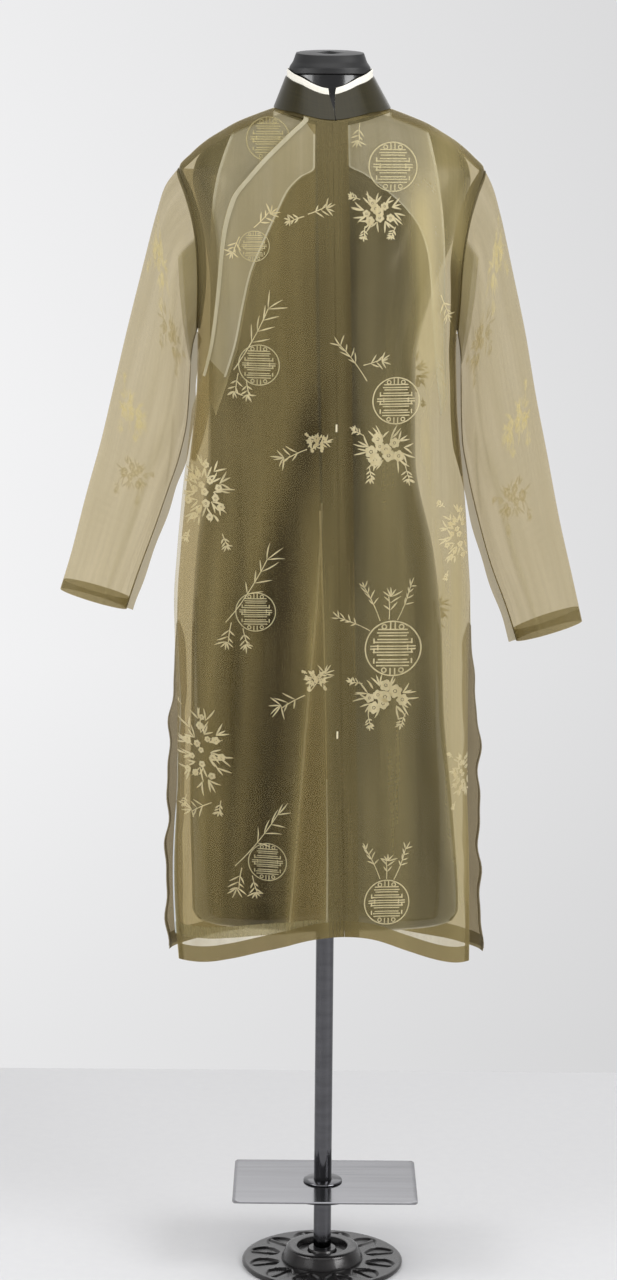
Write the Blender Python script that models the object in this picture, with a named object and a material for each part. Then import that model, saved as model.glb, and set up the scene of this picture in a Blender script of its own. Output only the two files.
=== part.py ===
"""Ao dai tunic of sheer silk, worn on a black limbless dress form with a steel stand.

Metres, +Z up. The front faces -Y and the wearer's left is +X. The origin is on the floor,
at the axis of the pole. Every cloth piece is a wall between two grids of points: the outer
grid lies on the body surface, and the inner one is the same grid moved inwards.
"""

import math

import bpy
import numpy as np

# ---------------------------------------------------------------- cloth
WALL = 0.0011  # cloth
GAP = 0.0003  # between pieces at a seam, and between layers
STEP = WALL + 0.0006  # from a panel to the band on it
HEM_STEP = WALL + 0.0009  # the turned hem bulges a little
LAYER_GAP = 0.0020  # between two panels that hang one over the other
YOKE_GAP = 0.0035  # the shoulder linings hang a little freer
YOKE_TOP_GAP = 0.0015  # at the shoulder, where they are sewn in with the fronts
LIFT = STEP + WALL + LAYER_GAP  # the outer fronts over the inner front and its bands
ROUND = 2.5  # exponent of the body's rounded sections

SHOULDER_TIP = 1.541
UNDERARM = 1.324
SLIT_TOP = 0.955
HEM_SIDE = 0.463
HEM_RISE = 0.046  # how much higher the front hem is at its middle
INNER_HEM_SIDE = 0.496
INNER_HEM_RISE = 0.020
BACK_HEM_SIDE = 0.452
BACK_HEM_RISE = 0.022
ARMHOLE_DEPTH_FRONT = 0.050
ARMHOLE_DEPTH_BACK = 0.052
INNER_STANDS_OUT = 0.004  # the inner front's slit edge shows beside the outer one
CENTRE_DRIFT = 0.026  # the centre front seam hangs this far to the left at the hem

NECK_HALF_WIDTH = 0.0765
NECK_HALF_DEPTH = 0.068
NECK_CENTRE_Y = 0.005
NECK_LEVEL = 1.604  # the neckline at the centre front
COLLAR_WALL = 0.0013
COLLAR_FRONT_HEIGHT = 0.033
COLLAR_SIDE_HEIGHT = 0.041
COLLAR_BACK_HEIGHT = 0.046
COLLAR_TOP_SCALE = 0.745  # top ring over base ring
NECK_LEAN = -0.0035  # x of the neck's top
COLLAR_STANDS_OUT = 0.0022  # over the neckline's oval, so that it covers the cut edges
LINING_SHOWS = 0.010  # ivory collar above the dark one
NOTCH_X = 0.004
NOTCH_HALF_WIDTH = 0.0048
NOTCH_START = 0.36  # share of the collar's height where the V opens

LIFT_ENDS = (0.028, 0.066)  # x between which the left outer front comes down to the body
INNER_EDGE_TOP = -0.0215
INNER_EDGE_LOW = 0.003

SEAM_BAND_HALF = 0.0205
HEM_BAND = 0.022
INNER_HEM_BAND = 0.016
SLIT_BAND = 0.010
CUFF_BAND = 0.021
SLEEVE_LENGTH = 0.60
BINDING = 0.007
BINDING_FOOT = 1.262  # the closing's binding ends at the underarm

POLE_RADIUS = 0.0125
FORM_BOTTOM = 0.500
NECK_JOINT = 1.664
NECK_TOP = 1.694
PLATE = (0.259, 0.178, 0.003)
PLATE_TOP = 0.120
PLATE_X = 0.003
WASHER_RADIUS = 0.0275
DISH_RADIUS = 0.077
DISH_DEPTH = 0.013
BASE_RADIUS = 0.114
BASE_THICK = 0.006
HUB_FOOT = 0.058
HUB_RADIUS = 0.0515
HUB_TOP = 0.0245
HUB_RING = (0.021, 0.034)  # the recessed ring round the pole's socket
HUB_RING_TOP = 0.0165

# The tunic's sections. Above the slits the front and back end at the full half width.
BODY = dict(
    height=[0.45, 0.60, 0.72, 0.82, 0.90, 0.955, 1.02, 1.10, 1.174, 1.23, 1.30, 1.324,
            1.37, 1.42, 1.47, 1.51, 1.541, 1.560, 1.578, 1.590, 1.602, 1.612, 1.622, 1.630],
    half_width=[0.2235, 0.211, 0.2005, 0.1990, 0.2000, 0.2010, 0.1970, 0.1905, 0.182, 0.1770,
                0.1750, 0.1755, 0.179, 0.184, 0.191, 0.199, 0.205, 0.189, 0.168, 0.149,
                0.128, 0.104, 0.0765, 0.050],
    front=[0.115, 0.118, 0.119, 0.120, 0.121, 0.122, 0.122, 0.122, 0.123, 0.125, 0.128,
           0.128, 0.127, 0.122, 0.113, 0.104, 0.096, 0.089, 0.082, 0.076, 0.069, 0.060,
           0.048, 0.030],
    back=[0.106, 0.110, 0.112, 0.112, 0.112, 0.112, 0.110, 0.106, 0.104, 0.104, 0.107,
          0.108, 0.110, 0.111, 0.109, 0.104, 0.098, 0.093, 0.087, 0.082, 0.077, 0.070,
          0.060, 0.042],
    centre_x=[0.0, -0.004, -0.0035, -0.004, -0.0055, -0.0055, -0.0055, -0.005, -0.005, -0.0045,
              -0.0045, -0.004, -0.002, -0.001, 0.0, 0.0, 0.0, 0.0, 0.0, 0.0, 0.0, 0.0, 0.0, 0.0],
    centre_y=[0.0, 0.0, 0.0, 0.0, 0.0, 0.0, 0.0, 0.0, 0.0, 0.0, 0.0, 0.0, 0.0, 0.0, 0.0, 0.0,
              0.0, 0.001, 0.003, 0.005, 0.007, 0.011, 0.016, 0.020],
)

# Below the slits the two skirts part: how far each edge stands from the middle plane,
# and how much wider the back hangs than the front.
SKIRT = dict(
    height=[0.45, 0.61, 0.74, 0.82, 0.90, 0.955],
    front_part=[0.068, 0.048, 0.030, 0.019, 0.007, 0.0],
    back_part=[0.022, 0.018, 0.012, 0.008, 0.003, 0.0],
    back_flare=[0.0, 0.0100, 0.0170, 0.0110, 0.0035, 0.0],
)

# The closing line of the outer right front: distance from the centre, going down.
CLOSING = dict(
    height=[1.20, 1.25, 1.309, 1.382, 1.454, 1.50, 1.533, 1.568, 1.603],
    out=[0.1874, 0.172, 0.156, 0.148, 0.143, 0.132, 0.108, 0.075, 0.038],
)

# Columns of every panel, as shares of its width, crowded where the body turns away.
PANEL_SHARES = np.array([0.0, 0.17, 0.34, 0.51, 0.66, 0.79, 0.88, 0.94, 0.976, 0.994, 1.0])
# At the top edge the same columns are spread over the neckline, then over the shoulder.
NECK_SHARES = np.array([0.0, 0.30, 0.56, 0.77, 0.91, 1.0])
SHOULDER_SHARES = np.array([0.22, 0.44, 0.66, 0.86, 1.0])

# Shoulder linings: their curve towards the centre front and the one beside the armhole.
YOKE = dict(
    right=dict(
        inner_x=[0.0225, 0.0225, 0.041, 0.056, 0.073, 0.089, 0.105, 0.114, 0.123, 0.138, 0.156],
        inner_z=[1.602, 1.545, 1.531, 1.515, 1.480, 1.444, 1.405, 1.365, 1.318, 1.266, 1.215],
        outer_x=[0.132, 0.146, 0.154, 0.160, 0.163, 0.164, 0.164, 0.164, 0.164, 0.165, 0.167],
        outer_z=[1.600, 1.560, 1.532, 1.502, 1.470, 1.436, 1.402, 1.368, 1.330, 1.290, 1.240],
    ),
    left=dict(
        inner_x=[0.0200, 0.0200, 0.043, 0.072, 0.100, 0.118, 0.129, 0.134, 0.138, 0.143, 0.152],
        inner_z=[1.602, 1.552, 1.537, 1.516, 1.490, 1.464, 1.425, 1.370, 1.318, 1.268, 1.215],
        outer_x=[0.128, 0.138, 0.144, 0.149, 0.152, 0.154, 0.155, 0.156, 0.157, 0.158, 0.160],
        outer_z=[1.602, 1.555, 1.522, 1.492, 1.462, 1.432, 1.400, 1.368, 1.330, 1.290, 1.240],
    ),
)

# Sleeves: the outer and the inner line as seen from the front, half depth and centre in y.
SLEEVE = dict(
    right=dict(
        outer_x=[0.205, 0.224, 0.236, 0.255, 0.275, 0.294, 0.310, 0.331, 0.352, 0.366],
        outer_z=[1.541, 1.515, 1.478, 1.404, 1.324, 1.243, 1.175, 1.099, 1.017, 0.971],
        inner_x=[0.1795, 0.1855, 0.1885, 0.190, 0.193, 0.203, 0.218, 0.237, 0.259, 0.275],
        inner_z=[1.324, 1.303, 1.282, 1.243, 1.200, 1.152, 1.107, 1.052, 0.992, 0.944],
        depth=[0.050, 0.055, 0.060, 0.064, 0.064, 0.060, 0.053, 0.045, 0.034, 0.027],
        centre_y=[0.0, 0.0, -0.001, -0.003, -0.006, -0.009, -0.012, -0.016, -0.022, -0.026],
    ),
    left=dict(
        outer_x=[0.205, 0.217, 0.228, 0.246, 0.264, 0.280, 0.296, 0.315, 0.333, 0.348],
        outer_z=[1.541, 1.517, 1.481, 1.404, 1.324, 1.238, 1.162, 1.070, 0.995, 0.932],
        inner_x=[0.1715, 0.1755, 0.1775, 0.178, 0.180, 0.189, 0.203, 0.221, 0.241, 0.258],
        inner_z=[1.324, 1.303, 1.282, 1.235, 1.180, 1.128, 1.070, 1.008, 0.955, 0.904],
        depth=[0.050, 0.055, 0.060, 0.064, 0.064, 0.060, 0.053, 0.045, 0.034, 0.027],
        centre_y=[0.0, 0.0, -0.001, -0.003, -0.006, -0.009, -0.012, -0.016, -0.022, -0.026],
    ),
)

# Soft folds: a ridge (or, with a negative rise, a trough) from its top to its bottom.
FOLD_COLUMNS = ("top_x", "top_z", "low_x", "low_z", "width", "rise")
FRONT_FOLDS = [
    (-0.030, 1.220, -0.102, 0.740, 0.030, -0.0050),
    (-0.012, 1.060, -0.060, 0.463, 0.022, 0.0045),
    (-0.150, 1.100, -0.158, 0.463, 0.022, 0.0035),
    (0.060, 1.150, 0.078, 0.463, 0.028, -0.0040),
    (0.112, 1.180, 0.178, 0.463, 0.020, 0.0050),
    (0.118, 0.900, 0.125, 0.463, 0.026, -0.0035),
    (-0.118, 1.480, -0.150, 1.300, 0.018, 0.0025),
    (0.124, 1.500, 0.140, 1.260, 0.018, 0.0030),
]
BACK_FOLDS = [
    (-0.125, 1.180, -0.150, 0.450, 0.028, 0.0050),
    (-0.060, 1.000, -0.082, 0.450, 0.026, -0.0040),
    (0.035, 1.120, 0.048, 0.450, 0.024, 0.0045),
    (0.098, 1.260, 0.112, 0.450, 0.030, -0.0045),
    (0.150, 1.050, 0.176, 0.450, 0.022, 0.0040),
    (-0.095, 1.500, -0.120, 1.300, 0.020, 0.0025),
    (0.090, 1.480, 0.118, 1.320, 0.018, 0.0025),
]

# The dress form: slimmer than the tunic, which hangs off its centre at the waist, and long
# enough to carry its skirt.
FORM = dict(
    height=[0.500, 0.506, 0.520, 0.65, 0.80, 0.92, 1.02, 1.15, 1.28, 1.38, 1.45, 1.50,
            1.530, 1.548, 1.5721, 1.5855, 1.5981, 1.6077, 1.6158, 1.626, 1.645, 1.664],
    half_width=[0.168, 0.180, 0.186, 0.183, 0.175, 0.172, 0.163, 0.142, 0.140, 0.150, 0.168,
                0.182, 0.187, 0.183, 0.166, 0.144, 0.117, 0.089, 0.065, 0.057, 0.052, 0.052],
    centre_x=[0.000, 0.000, 0.000, -0.006, -0.013, -0.015, -0.018, -0.024, -0.024, -0.012, -0.003,
              0.000, 0.000, 0.000, 0.000, 0.000, 0.000, 0.000, 0.000, 0.000, 0.000, 0.000],
    half_depth=[0.060, 0.072, 0.078, 0.087, 0.095, 0.100, 0.097, 0.093, 0.101, 0.101, 0.097,
                0.092, 0.088, 0.083, 0.076, 0.070, 0.064, 0.058, 0.053, 0.049, 0.047, 0.047],
    centre_y=[0.004, 0.004, 0.004, 0.004, 0.004, 0.004, 0.002, -0.002, -0.008, -0.008, -0.003,
              0.000, 0.001, 0.002, 0.004, 0.006, 0.008, 0.009, 0.010, 0.010, 0.010, 0.010],
)

COLOURS = dict(
    organza=(0.30, 0.25, 0.13),
    organza_doubled=(0.20, 0.16, 0.07),
    satin=(0.030, 0.028, 0.012),
    ivory=(0.80, 0.78, 0.70),
    black_gloss=(0.010, 0.010, 0.011),
    steel=(0.55, 0.55, 0.56),
    black_iron=(0.030, 0.028, 0.028),
)
FINISH = dict(
    organza=(0.55, 0.0),
    organza_doubled=(0.55, 0.0),
    satin=(0.35, 0.0),
    ivory=(0.60, 0.0),
    black_gloss=(0.25, 0.0),
    steel=(0.15, 1.0),
    black_iron=(0.35, 0.6),
)


# ---------------------------------------------------------------- curves and tables
def smooth(known, values, at):
    """Monotone cubic through the rows of a table: it never overshoots a row."""
    known = np.asarray(known, float)
    values = np.asarray(values, float)
    at = np.clip(np.asarray(at, float), known[0], known[-1])
    run = np.diff(known)
    slope = np.diff(values) / run
    tangent = np.empty_like(values)
    tangent[0] = slope[0]
    tangent[-1] = slope[-1]
    before = slope[:-1]
    after = slope[1:]
    same = before * after > 0
    safe = np.where(same, before + after, 1.0)
    tangent[1:-1] = np.where(same, 2 * before * after / safe, 0.0)
    row = np.clip(np.searchsorted(known, at, side="right") - 1, 0, len(run) - 1)
    h = run[row]
    s = (at - known[row]) / h
    rise = values[row + 1] - values[row]
    a = tangent[row] * h - rise
    b = rise - tangent[row + 1] * h
    return values[row] + s * rise + s * (1 - s) * (a * (1 - s) + b * s)


def column(table, name, at):
    return smooth(table["height"], table[name], at)


def smoothstep(low, high, at):
    s = np.clip((np.asarray(at, float) - low) / (high - low), 0.0, 1.0)
    return s * s * (3 - 2 * s)


def along(values, at):
    """A list of values read at 0 to 1 along it."""
    return smooth(np.linspace(0, 1, len(values)), values, at)


# ---------------------------------------------------------------- the body surface
def half_width(z, sheet):
    """Half width of the section; the back's skirt hangs wider than the front's."""
    width = column(BODY, "half_width", z)
    return width + column(SKIRT, "back_flare", z) if sheet > 0 else width


def section_share(x, z, sheet):
    """Distance from the middle as a share of the section's half width, under 1."""
    reach = np.abs(x - column(BODY, "centre_x", z)) / half_width(z, sheet)
    return np.clip(reach, 0.0, 1.0)


def fold_rise(x, z, folds):
    """Sum of the folds: each is a bell across its line, faded in below its top."""
    total = np.zeros(np.broadcast(x, z).shape)
    for row in folds:
        fold = dict(zip(FOLD_COLUMNS, row))
        share = (fold["top_z"] - z) / (fold["top_z"] - fold["low_z"])
        middle = fold["top_x"] + (fold["low_x"] - fold["top_x"]) * share
        fade = smoothstep(0.0, 0.35, share) * (1 - smoothstep(1.0, 1.25, share))
        total += fold["rise"] * fade * np.exp(-(((x - middle) / fold["width"]) ** 2))
    return total


def slope_at(value, z, nudge=0.0005):
    return (value(z + nudge) - value(z - nudge)) / (2 * nudge)


def sheet_points(x, z, sheet, offset):
    """Points at (x, z) on the front (-1) or back (+1) sheet, moved out by offset.

    The sheet is half of a superellipse whose half width, depth and centre follow the
    height, and the normal is that of this closed form.
    """
    name = "front" if sheet < 0 else "back"
    folds = FRONT_FOLDS if sheet < 0 else BACK_FOLDS
    width = half_width(z, sheet)
    depth = column(BODY, name, z)
    mid_x = column(BODY, "centre_x", z)
    mid_y = column(BODY, "centre_y", z)
    share = section_share(x, z, sheet)
    out = (1 - share**ROUND) ** (1 / ROUND)
    y = mid_y + sheet * np.maximum(depth * out, GAP / 2)
    width_slope = slope_at(lambda height: half_width(height, sheet), z)
    depth_slope = slope_at(lambda height: column(BODY, name, height), z)
    mid_slope = slope_at(lambda height: column(BODY, "centre_y", height), z)
    nx = np.sign(x - mid_x) * share ** (ROUND - 1) / width
    ny = sheet * out ** (ROUND - 1) / depth
    nz = -(share**ROUND) * width_slope / width - out**ROUND * depth_slope / depth - ny * mid_slope
    normal = np.stack([nx, ny, nz], axis=-1)
    normal /= np.linalg.norm(normal, axis=-1, keepdims=True)
    moved = (offset + fold_rise(x, z, folds))[..., None] * normal
    return np.stack([x, y, z], axis=-1) + moved


def neckline_height(x, sheet):
    """Height at which the sheet passes through the upright oval of the neck, by halving."""
    inside = np.sqrt(np.clip(1 - (x / NECK_HALF_WIDTH) ** 2, 0, 1))
    target = NECK_CENTRE_Y + sheet * NECK_HALF_DEPTH * inside
    name = "front" if sheet < 0 else "back"
    low = np.full(np.shape(x), 1.50)
    high = np.full(np.shape(x), BODY["height"][-2])
    for _ in range(40):
        middle = (low + high) / 2
        out = (1 - section_share(x, middle, sheet) ** ROUND) ** (1 / ROUND)
        y = column(BODY, "centre_y", middle) + sheet * column(BODY, name, middle) * out
        beyond = sheet * (y - target) > 0
        low = np.where(beyond, middle, low)
        high = np.where(beyond, high, middle)
    return (low + high) / 2


def ridge_height(x):
    """Height of the shoulder's ridge, where the section is exactly that wide."""
    heights = np.linspace(SHOULDER_TIP, BODY["height"][-2], 4000)
    widths = column(BODY, "half_width", heights)
    return np.interp(np.abs(x), widths[::-1], heights[::-1])


def top_height(x, sheet):
    """Upper edge of a panel: neckline near the middle, then the shoulder ridge."""
    near = np.minimum(np.abs(x), NECK_HALF_WIDTH)
    return np.where(np.abs(x) < NECK_HALF_WIDTH - 1e-6, neckline_height(near, sheet), ridge_height(x))


def edge_at_depth(z, side, sheet, depth):
    """x on the sheet where it stands this far in front of or behind the middle plane."""
    name = "front" if sheet < 0 else "back"
    share = np.clip(depth / column(BODY, name, z), 0, 1)
    reach = half_width(z, sheet) * (1 - share**ROUND) ** (1 / ROUND)
    return column(BODY, "centre_x", z) + side * reach


def armhole_edge(z, side, sheet):
    """x of the armhole: an upright oval in y and z, laid on the body surface."""
    middle = (SHOULDER_TIP + UNDERARM) / 2
    half = (SHOULDER_TIP - UNDERARM) / 2
    oval = np.sqrt(np.clip(1 - ((z - middle) / half) ** 2, 0, 1))
    return edge_at_depth(z, side, sheet, oval * (ARMHOLE_DEPTH_FRONT if sheet < 0 else ARMHOLE_DEPTH_BACK))


def side_edge(z, side, sheet):
    """x of a panel's outer edge: armhole, then side seam, then the slit's edge."""
    part = column(SKIRT, "front_part" if sheet < 0 else "back_part", z)
    lower = edge_at_depth(z, side, sheet, np.where(z < SLIT_TOP, part, 0.0))
    return np.where(z > UNDERARM, armhole_edge(z, side, sheet), lower)


def centre_line(z):
    return CENTRE_DRIFT * np.clip((1.60 - z) / 1.10, 0, 1)


def hem_height(share, low, rise):
    """Hem from the centre (0), where it is highest, to the side (1)."""
    return low + rise * (1 - smoothstep(0.0, 1.0, share))


# ---------------------------------------------------------------- meshes
def make_object(name, vertices, faces, colour, flat=False):
    mesh = bpy.data.meshes.new(name)
    mesh.from_pydata([tuple(map(float, v)) for v in vertices], [], faces)
    mesh.update()
    if flat:
        mesh.shade_flat()
    else:
        mesh.shade_smooth()
        mesh.set_sharp_from_angle(angle=math.radians(50))
    material = bpy.data.materials.get(colour)
    if material is None:
        material = bpy.data.materials.new(colour)
        material.use_nodes = True
        shader = material.node_tree.nodes["Principled BSDF"]
        shader.inputs["Base Color"].default_value = (*COLOURS[colour], 1.0)
        shader.inputs["Roughness"].default_value = FINISH[colour][0]
        shader.inputs["Metallic"].default_value = FINISH[colour][1]
    mesh.materials.append(material)
    made = bpy.data.objects.new(name, mesh)
    bpy.context.scene.collection.objects.link(made)
    return made


def grid_faces(rows, columns, start, around):
    """Quads of a grid of points numbered row by row from start."""
    faces = []
    last = columns if around else columns - 1
    for i in range(rows - 1):
        for j in range(last):
            k = (j + 1) % columns
            a = start + i * columns
            b = a + columns
            faces.append((a + j, b + j, b + k, a + k))
    return faces


def split_quads(faces, points):
    """Cuts each quad along its shorter diagonal."""
    triangles = []
    for a, b, c, d in faces:
        if np.linalg.norm(points[a] - points[c]) <= np.linalg.norm(points[b] - points[d]):
            triangles += [(a, b, c), (a, c, d)]
        else:
            triangles += [(a, b, d), (b, c, d)]
    return triangles


def faces_out(outer, inner):
    """Whether the quads of the outer grid already turn away from the inner one."""
    down = outer[1:, :-1] - outer[:-1, :-1]
    across = outer[:-1, 1:] - outer[:-1, :-1]
    away = (outer - inner)[:-1, :-1]
    return np.sum(np.cross(down, across) * away) > 0


def wall(name, outer, inner, colour, around=False):
    """Closes the space between two grids of the same size into one solid.

    With around, the columns close into a tube and only its two ends are walled.
    """
    rows, columns = outer.shape[:2]
    if not faces_out(outer, inner):
        outer = outer[:, ::-1]
        inner = inner[:, ::-1]
    count = rows * columns
    points = np.concatenate([outer.reshape(-1, 3), inner.reshape(-1, 3)])
    # Both grids are cut along the same diagonals, so that the two sides of a twisted quad
    # stay a wall apart.
    faces = split_quads(grid_faces(rows, columns, 0, around), points)
    faces += [tuple(k + count for k in face)[::-1] for face in faces]
    last = columns if around else columns - 1
    low = (rows - 1) * columns
    for j in range(last):
        k = (j + 1) % columns
        faces.append((j, k, k + count, j + count))
        faces.append((low + k, low + j, low + j + count, low + k + count))
    if not around:
        for i in range(rows - 1):
            a = i * columns
            b = a + columns
            c = a + columns - 1
            d = b + columns - 1
            faces.append((b, a, a + count, b + count))
            faces.append((c, d, d + count, c + count))
    return make_object(name, points, faces, colour)


def turned(name, profile, colour, segments=24):
    """A solid turned about the pole's axis from (radius, height) points.

    The profile goes up the outside. It either starts and ends on the axis or, as a ring,
    closes on itself.
    """
    points = []
    rings = []
    for radius, height in profile:
        count = segments if radius > 0 else 1
        rings.append(list(range(len(points), len(points) + count)))
        for k in range(count):
            angle = 2 * math.pi * k / segments
            points.append((radius * math.cos(angle), radius * math.sin(angle), height))
    pairs = list(zip(rings, rings[1:]))
    if len(rings[0]) > 1:
        pairs.append((rings[-1], rings[0]))
    faces = []
    for low, high in pairs:
        for k in range(segments):
            n = (k + 1) % segments
            if len(low) == 1:
                faces.append((low[0], high[n], high[k]))
            elif len(high) == 1:
                faces.append((low[k], low[n], high[0]))
            else:
                faces.append((low[k], low[n], high[n], high[k]))
    return make_object(name, points, faces, colour)


# ---------------------------------------------------------------- cloth panels
class Panel:
    """A cut piece: a grid of points with its outward normals, rows running down it."""

    def __init__(self, x, z, sheet, offset):
        self.outer = sheet_points(x, z, sheet, offset)
        inner = sheet_points(x, z, sheet, offset - WALL)
        self.normal = (self.outer - inner) / WALL
        self.rows, self.columns = self.outer.shape[:2]

    def build(self, name, colour="organza"):
        wall(name, self.outer, self.outer - WALL * self.normal, colour)

    def at(self, grid, row, column_at):
        """Reads a grid between its rows and columns, so that it keeps the panel's facets."""
        i = np.clip(np.floor(row).astype(int), 0, self.rows - 2)
        j = np.clip(np.floor(column_at).astype(int), 0, self.columns - 2)
        f = (row - i)[..., None]
        g = (column_at - j)[..., None]
        upper = grid[i, j] * (1 - g) + grid[i, j + 1] * g
        lower = grid[i + 1, j] * (1 - g) + grid[i + 1, j + 1] * g
        return upper * (1 - f) + lower * f

    def layer(self, name, row, column_at, colour, level=-STEP):
        """A second layer on this panel, made from its points and moved in by level."""
        points = self.at(self.outer, row, column_at)
        normal = self.at(self.normal, row, column_at)
        wall(name, points + level * normal, points + (level - WALL) * normal, colour)

    def columns_in(self, distance, row, from_side):
        """Column positions that lie a distance in from the panel's edge, row by row."""
        found = []
        for r in row:
            line = self.at(self.outer, np.full(self.columns, r), np.arange(self.columns, dtype=float))
            if from_side:
                line = line[::-1]
            run = np.concatenate([[0], np.cumsum(np.linalg.norm(np.diff(line, axis=0), axis=1))])
            place = np.interp(distance, run, np.arange(self.columns))
            found.append(self.columns - 1 - place if from_side else place)
        return np.array(found)

    def side_band(self, name, width, first_row, last_row, colour, from_side=True, level=-STEP):
        """A band of the given width along the outer or the centre edge."""
        whole = np.arange(math.ceil(first_row + 0.01), math.floor(last_row - 0.01) + 1)
        row = np.concatenate([[first_row], whole, [last_row]])
        far = self.columns_in(width, row, from_side)
        near = np.full(len(row), self.columns - 1.0 if from_side else 0.0)
        share = np.array([0.0, 0.5, 1.0])[None, :]
        column_at = near[:, None] + share * (far - near)[:, None]
        self.layer(name, np.repeat(row[:, None], 3, axis=1), column_at, colour, level)

    def hem_band(self, name, height, colour, side_trim=SLIT_BAND + GAP):
        """A band along the lowest row, stopping short of the slit's band."""
        last = self.rows - 1.0
        drop = np.linalg.norm(self.outer[-1, 0] - self.outer[-2, 0])
        row = np.array([last - height / drop, last - 0.5 * height / drop, last])
        end = self.columns_in(side_trim, row, True).min()
        column_at = np.concatenate([np.arange(math.ceil(end)), [end]])
        self.layer(name, np.repeat(row[:, None], len(column_at), axis=1),
                   np.repeat(column_at[None, :], 3, axis=0), colour, -HEM_STEP)

    def row_of(self, height):
        """Row position at a height on the outer edge."""
        return float(np.interp(-height, -self.outer[:, -1, 2], np.arange(self.rows)))

    def hem_row(self, height):
        """Row position this far above the hem on the centre edge."""
        drop = np.linalg.norm(self.outer[-1, 0] - self.outer[-2, 0])
        return self.rows - 1 - height / drop


def armhole_rows(count=10):
    """Heights down the armhole, spaced as the sleeve's ring is."""
    angles = np.linspace(0, math.pi, count + 1)
    middle = (SHOULDER_TIP + UNDERARM) / 2
    half = (SHOULDER_TIP - UNDERARM) / 2
    return middle + half * np.cos(angles)


def rows_between(start, end, count):
    return np.linspace(start, end, count + 1)[1:]


def panel_grid(edge_z, edge_x, inner_x, top, hem, top_shares):
    """x and z of a panel whose rows run from its inner edge to its outer edge.

    Each row keeps the share of the top line that is left at its height, so the rows slope
    with the shoulder at the top and with the hem at the bottom. The columns change from
    top_shares to PANEL_SHARES on the way down to the underarm.
    """
    down = ((edge_z[0] - edge_z) / (edge_z[0] - edge_z[-1]))[:, None]
    start = inner_x(np.array([NECK_LEVEL]))[0]
    top_x = start + top_shares * (edge_x[0] - start)
    z = top(top_x)[None, :] * (1 - down) + hem(PANEL_SHARES)[None, :] * down
    spread = np.clip((edge_z[0] - edge_z) / (edge_z[0] - UNDERARM), 0, 1)[:, None]
    shares = top_shares[None, :] * (1 - spread) + PANEL_SHARES[None, :] * spread
    inner = inner_x(z[:, :1])
    return inner + shares * (edge_x[:, None] - inner), z


def half_panel(side, sheet, inner, hem_side, hem_rise, edge_out=0.0):
    """x and z of a whole half: neckline, shoulder, armhole, side seam, slit and hem."""
    rows = np.concatenate([armhole_rows(), rows_between(UNDERARM, SLIT_TOP, 7),
                           rows_between(SLIT_TOP, hem_side, 9)])
    edge = side_edge(rows, side, sheet) + side * edge_out * smoothstep(0.80, 0.72, rows)
    start = inner(np.array([NECK_LEVEL]))[0]
    neck = (side * NECK_HALF_WIDTH - start) / (edge[0] - start)
    top_shares = np.concatenate([neck * NECK_SHARES, neck + (1 - neck) * SHOULDER_SHARES])
    return panel_grid(rows, edge, inner, lambda x: top_height(x, sheet),
                      lambda share: hem_height(share, hem_side, hem_rise), top_shares)


def outer_lift(x):
    """The left outer front leaves the right one's level beside the centre seam."""
    return LIFT * (1 - smoothstep(*LIFT_ENDS, x))


def inner_front_edge(z):
    """Centre edge of the inner front, which swings out towards the hem."""
    return INNER_EDGE_TOP + (INNER_EDGE_LOW - INNER_EDGE_TOP) * smoothstep(1.50, 0.60, z)


def closing_edge(z):
    """Outer edge of the outer right front: closing line, then side seam, then slit."""
    line = -column(CLOSING, "out", z)
    below = side_edge(z, -1, -1)
    return np.where(z > CLOSING["height"][0], np.maximum(line, below), below)


def outer_right_grid():
    closing_top = float(neckline_height(np.array([CLOSING["out"][-1]]), -1)[0])
    closing_foot = CLOSING["height"][0]
    closing = closing_top + (closing_foot - closing_top) * np.linspace(0, 1, 13) ** 1.35
    rows = np.concatenate([closing, rows_between(closing_foot, SLIT_TOP, 4),
                           rows_between(SLIT_TOP, HEM_SIDE, 9)])
    return panel_grid(rows, closing_edge(rows), lambda z: centre_line(z) - GAP / 2,
                      lambda x: neckline_height(np.abs(x), -1),
                      lambda share: hem_height(share, HEM_SIDE, HEM_RISE),
                      np.linspace(0, 1, len(PANEL_SHARES)))


def build_fronts():
    x, z = outer_right_grid()
    right = Panel(x, z, -1, LIFT)
    right.build("front_outer_right")
    right.side_band("closing_binding", BINDING, 0.2, right.row_of(BINDING_FOOT), "ivory")
    finish_panel(right, "outer_right", SEAM_BAND_HALF)

    x, z = half_panel(1, -1, lambda z: centre_line(z) + GAP / 2, HEM_SIDE, HEM_RISE)
    left = Panel(x, z, -1, outer_lift(x))
    left.build("front_outer_left")
    finish_panel(left, "outer_left", SEAM_BAND_HALF)

    x, z = half_panel(-1, -1, inner_front_edge, INNER_HEM_SIDE, INNER_HEM_RISE, INNER_STANDS_OUT)
    inner = Panel(x, z, -1, 0.0)
    inner.build("front_inner_right")
    finish_panel(inner, "inner_right", 0.0, "ivory", INNER_HEM_BAND)


def build_backs():
    for name, side in (("back_right", -1), ("back_left", 1)):
        x, z = half_panel(side, 1, lambda z, s=side: 0 * z + s * GAP / 2, BACK_HEM_SIDE, BACK_HEM_RISE)
        panel = Panel(x, z, 1, 0.0)
        panel.build(name)
        finish_panel(panel, name, SEAM_BAND_HALF)


def finish_panel(panel, name, seam, colour="organza_doubled", hem=None):
    """Turned hem, slit band and the allowance of the centre seam, all on the inside."""
    hem = hem or HEM_BAND
    panel.hem_band("hem_" + name, hem, colour)
    panel.side_band("slit_" + name, SLIT_BAND, panel.row_of(SLIT_TOP - 0.002), panel.rows - 1, colour)
    if seam:
        panel.side_band("seam_" + name, seam, 0.0, panel.hem_row(hem + GAP), colour, from_side=False)


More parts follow.
